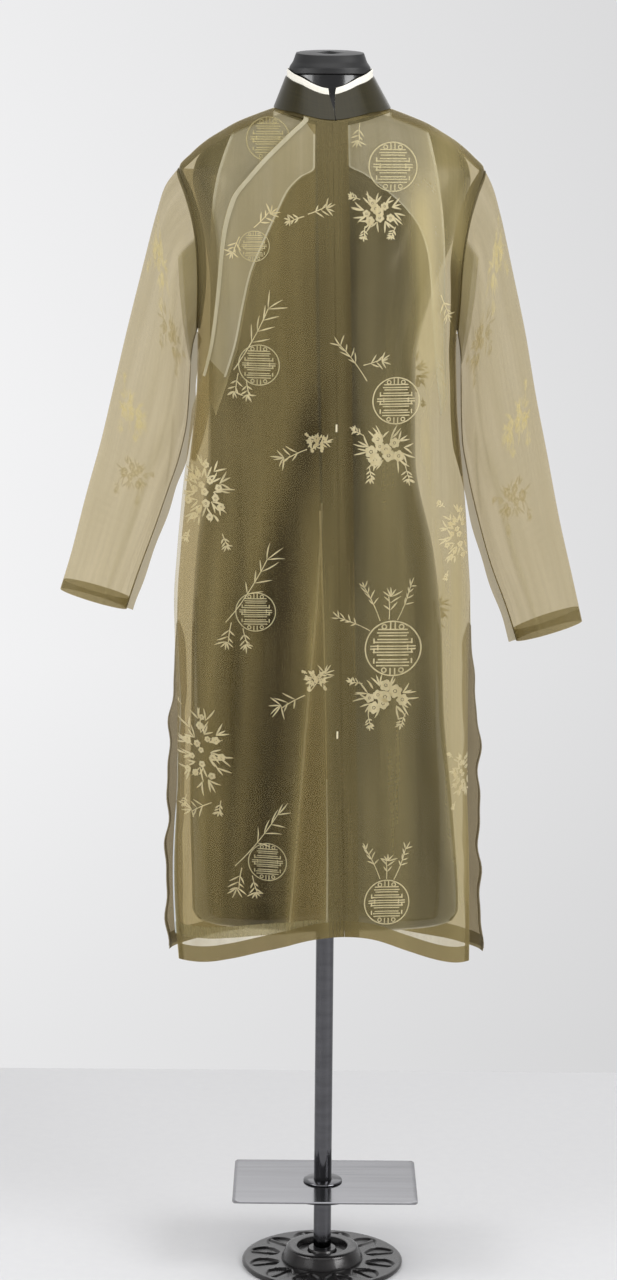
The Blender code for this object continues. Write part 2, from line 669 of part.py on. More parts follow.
def build_yokes():
    """Shoulder linings, between two curves, under all the fronts."""
    for name, side in (("right", -1), ("left", 1)):
        lines = YOKE[name]
        down = np.linspace(0, 1, 15) ** 1.15
        across = np.linspace(0, 1, 7)[None, :]
        inner_x = along(lines["inner_x"], down)[:, None]
        inner_z = along(lines["inner_z"], down)[:, None]
        outer_x = along(lines["outer_x"], down)[:, None]
        outer_z = along(lines["outer_z"], down)[:, None]
        x = inner_x + across * (outer_x - inner_x)
        z = inner_z + across * (outer_z - inner_z)
        top = top_height(x[0], -1) - 0.0030
        z = z + (top - z[0])[None, :] * ((1 - down) ** 3)[:, None]
        free = smoothstep(0.0, 0.30, down)[:, None] + 0 * x
        gap = YOKE_TOP_GAP + (YOKE_GAP - YOKE_TOP_GAP) * free
        Panel(side * x, z, -1, -WALL - gap).build("yoke_lining_" + name, "ivory")


# ---------------------------------------------------------------- sleeves
def sleeve_ring(side, share, angles):
    """One ring of a sleeve: an oval between its outer and inner line, of the given depth."""
    lines = SLEEVE["right" if side < 0 else "left"]
    outer = np.array([along(lines["outer_x"], share), along(lines["outer_z"], share)])
    inner = np.array([along(lines["inner_x"], share), along(lines["inner_z"], share)])
    depth = along(lines["depth"], share)
    middle = (outer + inner) / 2
    half = (outer - inner) / 2
    across = np.cos(angles)
    x = side * (middle[0] + half[0] * across)
    z = middle[1] + half[1] * across
    y = along(lines["centre_y"], share) - depth * np.sin(angles)
    return np.stack([x, y, z], axis=-1)


def armhole_loop(side, angles):
    """The armhole on the body surface, starting at the shoulder tip and going forwards."""
    middle = (SHOULDER_TIP + UNDERARM) / 2
    half = (SHOULDER_TIP - UNDERARM) / 2
    z = middle + half * np.cos(angles)
    front = np.sin(angles) > 0
    depth = np.where(front, ARMHOLE_DEPTH_FRONT, ARMHOLE_DEPTH_BACK)
    y = column(BODY, "centre_y", z) - depth * np.sin(angles)
    x = np.where(front, armhole_edge(z, side, -1), armhole_edge(z, side, 1))
    return np.stack([x + side * 2 * GAP, y, z], axis=-1)


def sleeve_points(side, rings, around, offset=0.0):
    """Rings from the armhole to the wrist, moved along the surface's normal by offset."""
    angles = 2 * math.pi * np.arange(around) / around
    shares = np.asarray(rings)
    loop = armhole_loop(side, angles)
    ovals = np.stack([sleeve_ring(side, share, angles) for share in shares])
    start = sleeve_ring(side, 0.0, angles)
    settle = (1 - smoothstep(0.0, 0.22, shares))[:, None, None]
    points = ovals + settle * (loop - start)[None]
    if offset == 0:
        return points
    along_ring = np.roll(points, -1, axis=1) - np.roll(points, 1, axis=1)
    down = np.gradient(points, axis=0)
    normal = np.cross(along_ring, down)
    normal /= np.linalg.norm(normal, axis=-1, keepdims=True)
    centre = points.mean(axis=1, keepdims=True)
    facing = np.sign(np.sum(normal * (points - centre), axis=-1).mean())
    return points + offset * facing * normal


def build_sleeves():
    rings = np.concatenate([np.linspace(0, 0.22, 6), np.linspace(0.22, 1.0, 11)[1:]])
    for name, side in (("right", -1), ("left", 1)):
        outer = sleeve_points(side, rings, 20)
        inner = sleeve_points(side, rings, 20, -WALL)
        wall("sleeve_" + name, outer, inner, "organza", around=True)
        low = 1 - CUFF_BAND / SLEEVE_LENGTH * np.array([1.0, 0.5, 0.01])
        band_out = sleeve_points(side, low, 20, -STEP)
        band_in = sleeve_points(side, low, 20, -STEP - WALL)
        wall("cuff_band_" + name, band_out, band_in, "organza_doubled", around=True)


# ---------------------------------------------------------------- collar
def collar_points(inset, rows, around=36):
    """The collar's grid, from one side of the notch round the neck to the other.

    Each ring is the neck's oval, shrinking evenly with its share of the height up to 1,
    so that the collar leans in and two collars of one formula stay parallel.
    """
    up = np.array(rows)[:, None]
    turn = np.linspace(0, 1, around + 1)[None, :]
    open_share = np.clip((up - NOTCH_START) / (1 - NOTCH_START), 0, None)
    half_gap = (0.0004 + NOTCH_HALF_WIDTH * open_share) / NECK_HALF_WIDTH
    notch = NOTCH_X / NECK_HALF_WIDTH
    angle = notch + half_gap + turn * (2 * math.pi - 2 * half_gap)
    leant = np.minimum(up, 1.0)
    scale = 1 + (COLLAR_TOP_SCALE - 1) * leant
    out = COLLAR_STANDS_OUT - inset
    x = NECK_LEAN * leant + (NECK_HALF_WIDTH * scale + out) * np.sin(angle)
    y = NECK_CENTRE_Y + 0.005 * leant - (NECK_HALF_DEPTH * scale + out) * np.cos(angle)
    plan_x = NECK_HALF_WIDTH * np.abs(np.sin(angle))
    front = np.cos(angle) > 0
    base = np.where(front, neckline_height(plan_x, -1), neckline_height(plan_x, 1))
    lifted = np.where(front, 1 - smoothstep(0.045, 0.070, plan_x), 0.0)
    base = base + 0.0008 + 0.0038 * lifted
    side_share = np.abs(np.sin(angle))
    middle_height = np.where(front, COLLAR_FRONT_HEIGHT, COLLAR_BACK_HEIGHT)
    height = middle_height + (COLLAR_SIDE_HEIGHT - middle_height) * side_share
    return np.stack([x, y, base + up * height], axis=-1)[::-1]


def build_collar():
    rows = [0.0, 0.25, 0.5, 0.75, 1.0]
    wall("collar_stand", collar_points(0.0, rows), collar_points(COLLAR_WALL, rows), "satin")
    inset = COLLAR_WALL + GAP
    rows = [0.15, 0.45, 0.75, 1.0, 1 + LINING_SHOWS / COLLAR_SIDE_HEIGHT]
    wall("collar_lining", collar_points(inset, rows), collar_points(inset + WALL, rows), "ivory")


# ---------------------------------------------------------------- dress form and stand
def build_form():
    """Body of the form: ovals from its flat underside to the neck, closed at both ends."""
    heights = np.concatenate([
        np.array([FORM_BOTTOM, 0.505, 0.520]),
        np.linspace(0.56, 1.48, 16),
        np.array([1.508, 1.530, 1.548, 1.560, 1.5721, 1.5855, 1.5981, 1.6077, 1.6158, 1.626, 1.645,
                  NECK_JOINT]),
    ])
    around = 24
    angles = 2 * math.pi * np.arange(around) / around
    points = []
    for height in heights:
        power = 2 / (2.25 - 0.25 * smoothstep(1.59, 1.625, height))
        width = column(FORM, "half_width", height)
        depth = column(FORM, "half_depth", height)
        middle = column(FORM, "centre_y", height)
        lean = NECK_LEAN * smoothstep(1.612, NECK_JOINT, height)
        centre = column(FORM, "centre_x", height)
        x = lean + centre + width * np.sign(np.cos(angles)) * np.abs(np.cos(angles)) ** power
        y = middle + depth * np.sign(np.sin(angles)) * np.abs(np.sin(angles)) ** power
        points += list(zip(x, y, np.full(around, height)))
    faces = [face[::-1] for face in grid_faces(len(heights), around, 0, True)]
    faces.append(tuple(range(around))[::-1])
    top = (len(heights) - 1) * around
    faces.append(tuple(range(top, top + around)))
    make_object("form_body", points, faces, "black_gloss")


def build_neck_cap():
    """Cap of the neck: widest just above the collar, then drawn in to a slanted flat top."""
    foot = NECK_JOINT + GAP
    rows = [(foot, 0.0520), (1.667, 0.0545), (1.674, 0.0545), (1.683, 0.0495), (1.690, 0.0470),
            (NECK_TOP, 0.0455)]
    around = 28
    slant = math.tan(math.radians(7))
    points = []
    for height, radius in rows:
        share = (height - foot) / (NECK_TOP - foot)
        for k in range(around):
            angle = 2 * math.pi * k / around
            x = NECK_LEAN + radius * math.cos(angle)
            back = 0.88 * radius * math.sin(angle)
            points.append((x, 0.010 + back, height + slant * share * back))
    faces = [face[::-1] for face in grid_faces(len(rows), around, 0, True)]
    faces.append(tuple(range(around))[::-1])
    top = (len(rows) - 1) * around
    faces.append(tuple(range(top, top + around)))
    make_object("neck_cap", points, faces, "black_gloss")


def build_stand():
    """Pole, washer, pressed dish, base disc and hub, all turned about the pole's axis."""
    hole = POLE_RADIUS + GAP
    socket = HUB_TOP - 0.004
    turned("pole", [(0, socket), (POLE_RADIUS, socket), (POLE_RADIUS, FORM_BOTTOM - GAP),
                    (0, FORM_BOTTOM - GAP)], "steel")
    washer = PLATE_TOP + GAP
    turned("pole_washer", [(hole, washer), (WASHER_RADIUS - 0.0015, washer),
                           (WASHER_RADIUS, washer + 0.0012), (WASHER_RADIUS - 0.0015, washer + 0.0027),
                           (hole, washer + 0.0027)], "steel")
    build_plate(hole)
    under = PLATE_TOP - PLATE[2] - GAP
    turned("plate_dish", [(hole, under - DISH_DEPTH), (0.52 * DISH_RADIUS, under - DISH_DEPTH),
                          (0.86 * DISH_RADIUS, under - 0.6 * DISH_DEPTH), (DISH_RADIUS, under),
                          (hole, under)], "steel", 28)
    turned("base_disc", [(0, 0.0), (BASE_RADIUS - 0.002, 0.0), (BASE_RADIUS, 0.002), (BASE_RADIUS, 0.004),
                         (BASE_RADIUS - 0.004, BASE_THICK), (0, BASE_THICK)], "black_iron", 36)
    floor = BASE_THICK + GAP
    turned("base_hub", [(0, floor), (HUB_FOOT, floor), (HUB_FOOT - 0.001, 0.010),
                        (HUB_RADIUS, HUB_TOP - 0.0035), (HUB_RADIUS - 0.003, HUB_TOP),
                        (HUB_RING[1] + 0.003, HUB_TOP), (HUB_RING[1], HUB_RING_TOP),
                        (HUB_RING[0], HUB_RING_TOP), (HUB_RING[0] - 0.002, HUB_TOP - 0.003),
                        (hole, HUB_TOP - 0.003), (hole, socket - GAP), (0, socket - GAP)], "black_iron", 28)


def build_plate(hole):
    """Shelf plate: a rectangle with a round hole for the pole."""
    around = 32
    half_x = PLATE[0] / 2
    half_y = PLATE[1] / 2
    points = []
    for height in (PLATE_TOP, PLATE_TOP - PLATE[2]):
        for k in range(around):
            angle = 2 * math.pi * (k + 0.5) / around
            direction = (math.cos(angle), math.sin(angle))
            reach = min(half_x / max(abs(direction[0]), 1e-9), half_y / max(abs(direction[1]), 1e-9))
            points.append((PLATE_X + reach * direction[0], reach * direction[1], height))
        corner_of(points, around, half_x, half_y)
        for k in range(around):
            angle = 2 * math.pi * (k + 0.5) / around
            points.append((hole * math.cos(angle), hole * math.sin(angle), height))
    faces = []
    layer = 2 * around
    for k in range(around):
        n = (k + 1) % around
        faces.append((k, n, around + n, around + k))
        faces.append((layer + n, layer + k, layer + around + k, layer + around + n))
        faces.append((n, k, layer + k, layer + n))
        faces.append((around + k, around + n, layer + around + n, layer + around + k))
    make_object("plate", points, faces, "steel", flat=True)


def corner_of(points, around, half_x, half_y):
    """Moves the rim point nearest each corner onto it, so the plate keeps its corners."""
    rim = points[-around:]
    for sx in (-1, 1):
        for sy in (-1, 1):
            corner = (PLATE_X + sx * half_x, sy * half_y)
            far = [math.hypot(p[0] - corner[0], p[1] - corner[1]) for p in rim]
            nearest = len(points) - around + far.index(min(far))
            points[nearest] = (*corner, points[nearest][2])


def main():
    for old in list(bpy.data.objects):
        bpy.data.objects.remove(old)
    build_fronts()
    build_backs()
    build_yokes()
    build_sleeves()
    build_collar()
    build_form()
    build_neck_cap()
    build_stand()


main()
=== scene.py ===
"""Ao dai tunic of sheer silk organza on a black dress form with a steel stand: its looks.

Metres, +Z up. The front faces -Y and the wearer's left is +X. Every cloth piece lies on the
tunic's body surface or on a sleeve's, at the distance from it where its solid lies.
"""

import logging
import math
from dataclasses import dataclass, field
from enum import Enum
from typing import Callable, Optional

import bpy
import numpy as np
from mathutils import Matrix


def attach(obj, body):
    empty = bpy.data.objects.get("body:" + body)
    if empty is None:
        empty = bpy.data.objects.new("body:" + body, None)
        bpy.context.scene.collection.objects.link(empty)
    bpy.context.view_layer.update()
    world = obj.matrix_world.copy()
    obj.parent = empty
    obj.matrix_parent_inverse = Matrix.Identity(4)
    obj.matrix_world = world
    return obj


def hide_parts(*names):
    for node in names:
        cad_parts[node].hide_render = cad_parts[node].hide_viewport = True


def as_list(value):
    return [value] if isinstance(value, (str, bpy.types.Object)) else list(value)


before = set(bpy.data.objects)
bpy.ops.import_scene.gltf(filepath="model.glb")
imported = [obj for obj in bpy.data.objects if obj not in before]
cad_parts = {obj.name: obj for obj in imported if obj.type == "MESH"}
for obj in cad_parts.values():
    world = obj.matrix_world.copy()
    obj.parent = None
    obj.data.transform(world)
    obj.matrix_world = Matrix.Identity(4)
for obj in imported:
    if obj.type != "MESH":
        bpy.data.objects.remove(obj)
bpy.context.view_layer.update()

Array = np.ndarray
Socket = bpy.types.NodeSocket
Obj = bpy.types.Object
Tree = bpy.types.NodeTree
Table = tuple[float, ...]
LOG = logging.getLogger("ao_dai")

WALL = 0.0011
GAP = 0.0003
LIFT = 0.0048  # the outer fronts hang this far outside the inner one
FLOAT_GAP = 0.0003  # the woven figures lie this far outside the cloth
ROUND = 2.5  # exponent of the body's rounded sections
SHOULDER_TIP = 1.541
UNDERARM = 1.324
ARMHOLE_MIDDLE, ARMHOLE_HALF = (SHOULDER_TIP + UNDERARM) / 2, (SHOULDER_TIP - UNDERARM) / 2
SLIT_TOP = 0.955
NECK_HALF_WIDTH = 0.0765
NECK_HALF_DEPTH = 0.068
NECK_CENTRE_Y = 0.005
NECK_LEVEL = 1.604
NECK_LEAN = -0.0035
CENTRE_DRIFT = 0.026
LEVEL = np.array([1, 1, 0])  # keeps only the level part of a direction


class Side(Enum):
    """The wearer's right and left, as the sign of x."""

    RIGHT = -1
    LEFT = 1


class Sheet(Enum):
    """Front or back half of the body surface, as the sign of y."""

    FRONT = -1
    BACK = 1


# ---------------- curves
def smooth(known: Array, values: Array, at: Array) -> Array:
    """Monotone cubic through table rows, which never overshoots one.

    Args:
        known: places of the rows, rising.
        values: the value of each row.
        at: places to read.

    Returns:
        The curve's value at each place.
    """
    known, values = np.asarray(known, float), np.asarray(values, float)
    at = np.clip(np.asarray(at, float), known[0], known[-1])
    run = np.diff(known)
    slope = np.diff(values) / run
    tangent = np.empty_like(values)
    tangent[0], tangent[-1] = slope[0], slope[-1]
    before, after = slope[:-1], slope[1:]
    same = before * after > 0
    tangent[1:-1] = np.where(same, 2 * before * after / np.where(same, before + after, 1.0), 0.0)
    row = np.clip(np.searchsorted(known, at, side="right") - 1, 0, len(run) - 1)
    h, s = run[row], (at - known[row]) / run[row]
    rise = values[row + 1] - values[row]
    a, b = tangent[row] * h - rise, rise - tangent[row + 1] * h
    return values[row] + s * rise + s * (1 - s) * (a * (1 - s) + b * s)


def smoothstep(low: float, high: float, at: Array) -> Array:
    """0 below low, 1 above high, and s squared times (3 - 2 s) between them."""
    s = np.clip((np.asarray(at, float) - low) / (high - low), 0.0, 1.0)
    return s * s * (3 - 2 * s)


def along(values: Table, at: Array) -> Array:
    """A list of values read at 0 to 1 along it, as a smooth curve."""
    return smooth(np.linspace(0, 1, len(values)), np.array(values), at)


def spread(values: Array, count: int) -> Array:
    """A list of shares read at count even steps, straight between its entries."""
    return np.interp(np.linspace(0, 1, count), np.linspace(0, 1, len(values)), values)


def mesh_grid(rows: Array, columns: Array) -> tuple[Array, Array]:
    """Two grids holding each row's value and each column's value."""
    return np.meshgrid(rows, columns, indexing="ij")


def stack(*parts: Array) -> Array:
    """Arrays whose shapes fit together, joined along a new last axis."""
    return np.stack(np.broadcast_arrays(*parts), axis=-1)


def mm(*values: float) -> Table:
    """Millimetres as metres."""
    return tuple(value / 1000 for value in values)


def unit(vectors: Array) -> Array:
    """Directions made one long."""
    return vectors / np.maximum(np.linalg.norm(vectors, axis=-1, keepdims=True), 1e-12)


def lengths(points: Array, axis: int) -> Array:
    """Length along a grid's lines from its first row or column."""
    step = np.linalg.norm(np.diff(points, axis=axis), axis=-1)
    return np.cumsum(np.insert(step, 0, 0.0, axis=axis), axis=axis)


# ---------------- nodes
def hex_colour(code: str, *factors: float) -> tuple[float, float, float, float]:
    """sRGB hex, such as "c8b478", as linear colour and alpha, times one factor or one a channel."""
    parts = np.array([int(code[i:i + 2], 16) for i in (0, 2, 4)]) / 255
    linear = np.where(parts <= 0.04045, parts / 12.92, ((parts + 0.055) / 1.055) ** 2.4)
    return (*map(float, linear * (factors or 1.0)), 1.0)


def add_node(tree: Tree, kind: str, inputs: Optional[dict] = None, output: object = 0, **settings: object) -> Socket:
    """Adds a node with its links and settings.

    Args:
        tree: the node tree.
        kind: the node's type name without its "ShaderNode".
        inputs: a value, or another node's output to link, for each input name or number.
        output: name or number of the output that is wanted.
        settings: properties of the node.

    Returns:
        That output, or None where the node has none.
    """
    node = tree.nodes.new("ShaderNode" + kind)
    for name, value in settings.items():
        setattr(node, name, value)
    for name, value in (inputs or {}).items():
        if isinstance(value, Socket):
            tree.links.new(value, node.inputs[name])
        else:
            node.inputs[name].default_value = value
    return node.outputs[output] if node.outputs else None


def cloudy(tree: Tree, place: str, scale: Table, detail: float) -> Socket:
    """Noise, about 0.3 to 0.7, over one kind of texture coordinate taken this many times."""
    scaled = add_node(tree, "Mapping", {"Vector": add_node(tree, "TexCoord", output=place), "Scale": scale})
    return add_node(tree, "TexNoise", {"Vector": scaled, "Scale": 1.0, "Detail": detail}, "Fac")


def streaks(tree: Tree, across: float, down: float, detail: float = 2.0) -> Socket:
    """Noise on the piece's own UV map, in streaks this many millimetres wide and long."""
    return cloudy(tree, "UV", (1000 / across, 1000 / down, 1.0), detail)


# ---------------- finishes
@dataclass(frozen=True)
class Finish:
    """What a piece is made of: its material's name, and the slot that it goes to."""

    name: str
    slot: str = field(default="olive_organza_doubled", kw_only=True)

    def material(self) -> bpy.types.Material:
        """The material, made once."""
        material = bpy.data.materials.get(self.name)
        if material is None:
            material = bpy.data.materials.new(self.name)
            material.use_nodes = True
            tree = material.node_tree
            tree.nodes.clear()
            add_node(tree, "OutputMaterial", {"Surface": self.shader(tree)})
        return material

    def shader(self, tree: Tree) -> Socket:
        """The nodes that give its look, up to the last shader's output."""
        raise NotImplementedError


@dataclass(frozen=True)
class SheerFinish(Finish):
    """A sheer plain weave: fine threads that cover part of what lies behind them.

    cover is the share that the threads take up, tint what passes between them, and
    through the share of the thread colour that light gives from the far side.
    """

    thread: str
    tint: str
    cover: float
    slub: float = 0.10
    roughness: float = 0.55
    sheen: float = 0.15
    through: float = 0.30
    marked: float = 0.0

    def shader(self, tree: Tree) -> Socket:
        """Threads over gaps, uneven along the warp and the weft, and lighter or darker with painted light and shade
        from the fold mark.
        """
        # Organza's threads are about 0.1 mm apart and its slubs 0.3 mm wide. They are drawn
        # 3.5 mm wide here, because finer ones don't show from where the garment is seen whole.
        weave = add_node(tree, "Math", {0: streaks(tree, 110.0, 3.0), 1: 0.6, 2: streaks(tree, 3.5, 160.0)},
                         operation="MULTIPLY_ADD")
        weave = add_node(tree, "Math", {0: streaks(tree, 18.0, 260.0, 3.0), 1: 2.4, 2: weave},
                         operation="MULTIPLY_ADD")
        uneven = add_node(tree, "Math", {0: weave, 1: self.slub, 2: self.cover - 2.0 * self.slub},
                          operation="MULTIPLY_ADD")
        mark, fold = (add_node(tree, "Attribute", output="Fac", attribute_name=name) for name in ("double", "fold"))
        # The fold mark is painted light and shade: it adds cover where the cloth is gathered and lighter, and takes
        # cover away where the cloth is in painted shade.
        cover = add_node(tree, "Math", {0: fold, 1: 0.26, 2: uneven}, operation="MULTIPLY_ADD")
        cover = add_node(tree, "Math", {0: mark, 1: self.marked, 2: cover}, operation="MULTIPLY_ADD", use_clamp=True)
        # Painted light and shade in the colour: the fold mark moves the thread colour towards a shaded copy (0.35
        # times) or a lighter copy (1.65 times), and this takes 0.8 of the colour.
        painted_lit_share = add_node(tree, "Math", {0: fold, 1: 0.5, 2: 0.5}, operation="MULTIPLY_ADD", use_clamp=True)
        level = add_node(tree, "Mix", {0: painted_lit_share, 6: hex_colour(self.thread, 0.35), 7: hex_colour(self.thread, 1.65)},
                         2, data_type="RGBA")
        colour = add_node(tree, "Mix", {0: weave, 6: hex_colour(self.thread, 0.72), 7: hex_colour(self.thread)},
                          2, data_type="RGBA")
        colour = add_node(tree, "Mix", {0: 0.80, 6: colour, 7: level}, 2, data_type="RGBA")
        colour = add_node(tree, "Mix", {0: mark, 6: colour, 7: hex_colour(self.thread, 0.82, 0.80, 0.58)},
                          2, data_type="RGBA")
        bump = add_node(tree, "Bump", {"Height": weave, "Strength": 0.08, "Distance": 0.0006})
        thread = add_node(tree, "BsdfPrincipled", {
            "Base Color": colour, "Roughness": self.roughness, "Sheen Weight": self.sheen,
            "Sheen Roughness": 0.35, "Normal": bump})
        glow = add_node(tree, "BsdfTranslucent", {"Color": colour})
        cloth = add_node(tree, "MixShader", {0: self.through, 1: thread, 2: glow})
        gaps = add_node(tree, "BsdfTransparent", {"Color": hex_colour(self.tint)})
        return add_node(tree, "MixShader", {0: cover, 1: gaps, 2: cloth})


@dataclass(frozen=True)
class WovenFinish(Finish):
    """A close woven or satin cloth that nothing shows through."""

    colour: str
    shade: str
    roughness: float
    sheen: float
    across: float = 1.6
    down: float = 40.0
    strength: float = 0.15
    gloss: float = 0.5

    def shader(self, tree: Tree) -> Socket:
        """Two close colours in drawn-out streaks along the threads."""
        grain, weft = streaks(tree, self.across, self.down), streaks(tree, self.down, self.across)
        half = add_node(tree, "Math", {0: grain, 1: 0.5}, operation="MULTIPLY")
        weave = add_node(tree, "Math", {0: weft, 1: 0.5, 2: half}, operation="MULTIPLY_ADD")
        share = add_node(tree, "Math", {0: weave, 1: 2.4, 2: -0.7}, operation="MULTIPLY_ADD", use_clamp=True)
        colour = add_node(tree, "Mix", {0: share, 6: hex_colour(self.shade), 7: hex_colour(self.colour)},
                          2, data_type="RGBA")
        bump = add_node(tree, "Bump", {"Height": weave, "Strength": self.strength, "Distance": 0.0004})
        return add_node(tree, "BsdfPrincipled", {
            "Base Color": colour, "Roughness": self.roughness, "Sheen Weight": self.sheen,
            "Specular IOR Level": self.gloss, "Sheen Roughness": 0.4, "Normal": bump})


@dataclass(frozen=True)
class HardFinish(Finish):
    """Lacquer or metal, with faint wear worked out from the place on the object."""

    colour: str
    shade: str
    roughness: float
    metallic: float = 0.0
    coat: float = 0.0
    grain: tuple[float, float, float] = (60.0, 60.0, 60.0)
    rough_change: float = 0.08
    bump: float = 0.0

    def shader(self, tree: Tree) -> Socket:
        """Two close colours and an uneven gloss, from noise in object space."""
        wear = cloudy(tree, "Object", self.grain, 4.0)
        colour = add_node(tree, "Mix", {0: wear, 6: hex_colour(self.shade), 7: hex_colour(self.colour)},
                          2, data_type="RGBA")
        rough = add_node(tree, "Math", {0: wear, 1: self.rough_change, 2: self.roughness - 0.5 * self.rough_change},
                         operation="MULTIPLY_ADD")
        inputs = {"Base Color": colour, "Roughness": rough, "Metallic": self.metallic, "Coat Weight": self.coat,
                  "Coat Roughness": 0.12}
        if self.bump:
            inputs["Normal"] = add_node(tree, "Bump", {"Height": wear, "Strength": self.bump, "Distance": 0.001})
        return add_node(tree, "BsdfPrincipled", inputs)


# Silk organza, plain woven from hard-twisted thread and piece dyed: crisp and see-through,
# with a dry sheen, and deeper in colour wherever it lies double.
ORGANZA = SheerFinish("silk_organza_woven_olive", "998b5b", "fff8e6", 0.36, slot="olive_organza")
ORGANZA_SLEEVE = SheerFinish("silk_organza_woven_olive_sleeve", "9a8e63", "fff8e8", 0.36, marked=0.34,
                             slot="olive_organza")
ORGANZA_DOUBLE = SheerFinish("silk_organza_turned_double_olive", "685d34", "efe2c0", 0.74, 0.05)
CENTRE_BAND = SheerFinish("silk_organza_seam_allowances_olive", "4e4423", "e6d8ac", 0.72, 0.06)
SEAM = SheerFinish("silk_organza_seam_layers_olive", "55491f", "e6d8a8", 0.80, 0.04)
TURNED = SheerFinish("silk_organza_turned_edge_layers_olive", "5b5040", "e2d8c4", 0.56, 0.06)
# Layers beside the armhole: partly seam layers, and partly a dark sheet put where the fold shadow between body and
# sleeve falls, as painted shade.
LAYERS_AND_SHADE_BESIDE_ARMHOLE = SheerFinish("silk_organza_layers_beside_armhole_olive", "4c4638", "e8dcbc", 0.50, 0.06)
FRINGE = SheerFinish("silk_organza_french_seam_olive", "8a7d58", "f5ead0", 0.58, 0.06)
# Armhole seam layers, darker than the other seams: partly real layers, partly painted shade of the folds round the
# armhole.
ARMHOLE_LAYERS_AND_SHADE = SheerFinish("silk_organza_armhole_layers_olive", "3a300f", "d8c890", 0.86, 0.04)
# The folded-back centre edge and its pressed fold are pale as painted light, far paler than doubled olive organza.
FOLDED_BACK_PAINTED_LIGHT = SheerFinish("silk_organza_folded_back_olive", "a89f86", "fbf6ec", 0.34, 0.06, slot="olive_organza")
FOLD_LINE_PAINTED_LIGHT = SheerFinish("silk_organza_pressed_fold_olive", "c8c5b4", "fbf8f2", 0.38, slot="olive_organza")
# Ivory habotai, a thin close silk: pale and soft, and it veils the form without hiding it.
IVORY_HEM = SheerFinish("silk_habotai_binding_ivory", "b9b9a4", "f8f8f4", 0.40, 0.05, through=0.20,
                        slot="ivory_silk")
IVORY_SHEER = SheerFinish("silk_habotai_woven_ivory", "e6eaf0", "fcfeff", 0.44, 0.05, through=0.25, slot="ivory_silk")
IVORY_EDGE = SheerFinish("silk_habotai_rolled_edge_ivory", "e2e9f4", "fcfdff", 0.90, 0.04, through=0.20,
                         slot="ivory_silk")
# Silk taffeta, stiff and close: plain and pale, with hardly any shine.
IVORY = WovenFinish("silk_taffeta_woven_ivory", "f4f1e8", "e4dfd0", 0.55, 0.20, slot="ivory_silk")
# Silk satin with the warp floats outside: dark, with a soft broad shine.
SATIN = WovenFinish("silk_satin_woven_dark_olive", "2f2a13", "231f0c", 0.34, 0.03, 2.2, 60.0, 0.10, 0.34,
                    slot="olive_satin")
# Twisted silk thread: pale, so that a stitch shows as a small dash.
THREAD = WovenFinish("silk_sewing_thread_pale", "e8dfc4", "cfc39c", 0.5, 0.2, slot="olive_organza")
# Supplementary weft of pale gold silk, floated on the figures only: matt and nearly solid,
# or thin and half lost in the ground where the float is sparse.
GOLD = SheerFinish("silk_weft_brocaded_pale_gold", "dccfa4", "fff8e0", 0.70, 0.30, 0.45, 0.35, 0.15,
                   slot="olive_organza")
GOLD_SOFT = SheerFinish("silk_weft_brocaded_gold_thinly_floated", "d8cda2", "fffaea", 0.56, 0.25, 0.5, 0.3, 0.15,
                        slot="olive_organza")
GOLD_FAINT = SheerFinish("silk_weft_brocaded_tone_on_tone", "dccd92", "fffdf2", 0.26, 0.20, 0.5, 0.3, 0.15,
                         slot="olive_organza")
# Glass-fibre shell sprayed with black lacquer: deep, smooth and glossy, and dull where it is rubbed.
LACQUER = HardFinish("glass_fibre_sprayed_black_lacquer", "101011", "0b0b0c", 0.22, coat=0.5,
                     grain=(9.0, 9.0, 9.0), rough_change=0.06, slot="black_form")
LACQUER_WORN = HardFinish("glass_fibre_black_lacquer_rubbed_dull", "141415", "0d0d0e", 0.50,
                          grain=(9.0, 9.0, 9.0), rough_change=0.06, slot="black_form")
# Mild steel, polished and chromed: a near mirror with the faint marks of handling. Its colour is set far darker than
# bare chrome, as a painted dark reflection of its surroundings.
CHROME_PAINTED_DARK = HardFinish("steel_polished_chromed", "69696c", "4e4e51", 0.12, 1.0, grain=(30.0, 30.0, 140.0),
                    slot="polished_steel")
# Steel sheet, rolled and polished: brighter, with faint lines along the rolling.
STEEL_SHEET = HardFinish("steel_sheet_polished", "9c9c9f", "868689", 0.16, 1.0, grain=(5.0, 160.0, 60.0),
                         rough_change=0.12, slot="polished_steel")
# Cast iron, painted black and rubbed bright; here the rubbed patches lie at random, not on its high places.
IRON = HardFinish("iron_cast_painted_black", "3c3a3a", "201f1f", 0.30, 0.7, 0.4, (70.0, 70.0, 70.0), 0.25, 0.15,
                  slot="black_iron")


# ---------------- meshes
def grid_quads(rows: int, columns: int, around: bool, start: int = 0) -> Array:
    """Quads of a grid numbered row by row from start, as an array of four columns."""
    i, j = mesh_grid(np.arange(rows - 1), np.arange(columns if around else columns - 1))
    k = (j + 1) % columns
    a, b = start + i * columns, start + (i + 1) * columns
    return stack(a + j, b + j, b + k, a + k).reshape(-1, 4)


def quad_normals(points: Array) -> Array:
    """Cross products of a grid's quads, each as long as the quad's area."""
    return np.cross(points[1:, :-1] - points[:-1, :-1], points[:-1, 1:] - points[:-1, :-1])


def grid_area(points: Array) -> float:
    """Area of a grid of points."""
    return float(np.linalg.norm(quad_normals(points), axis=-1).sum())


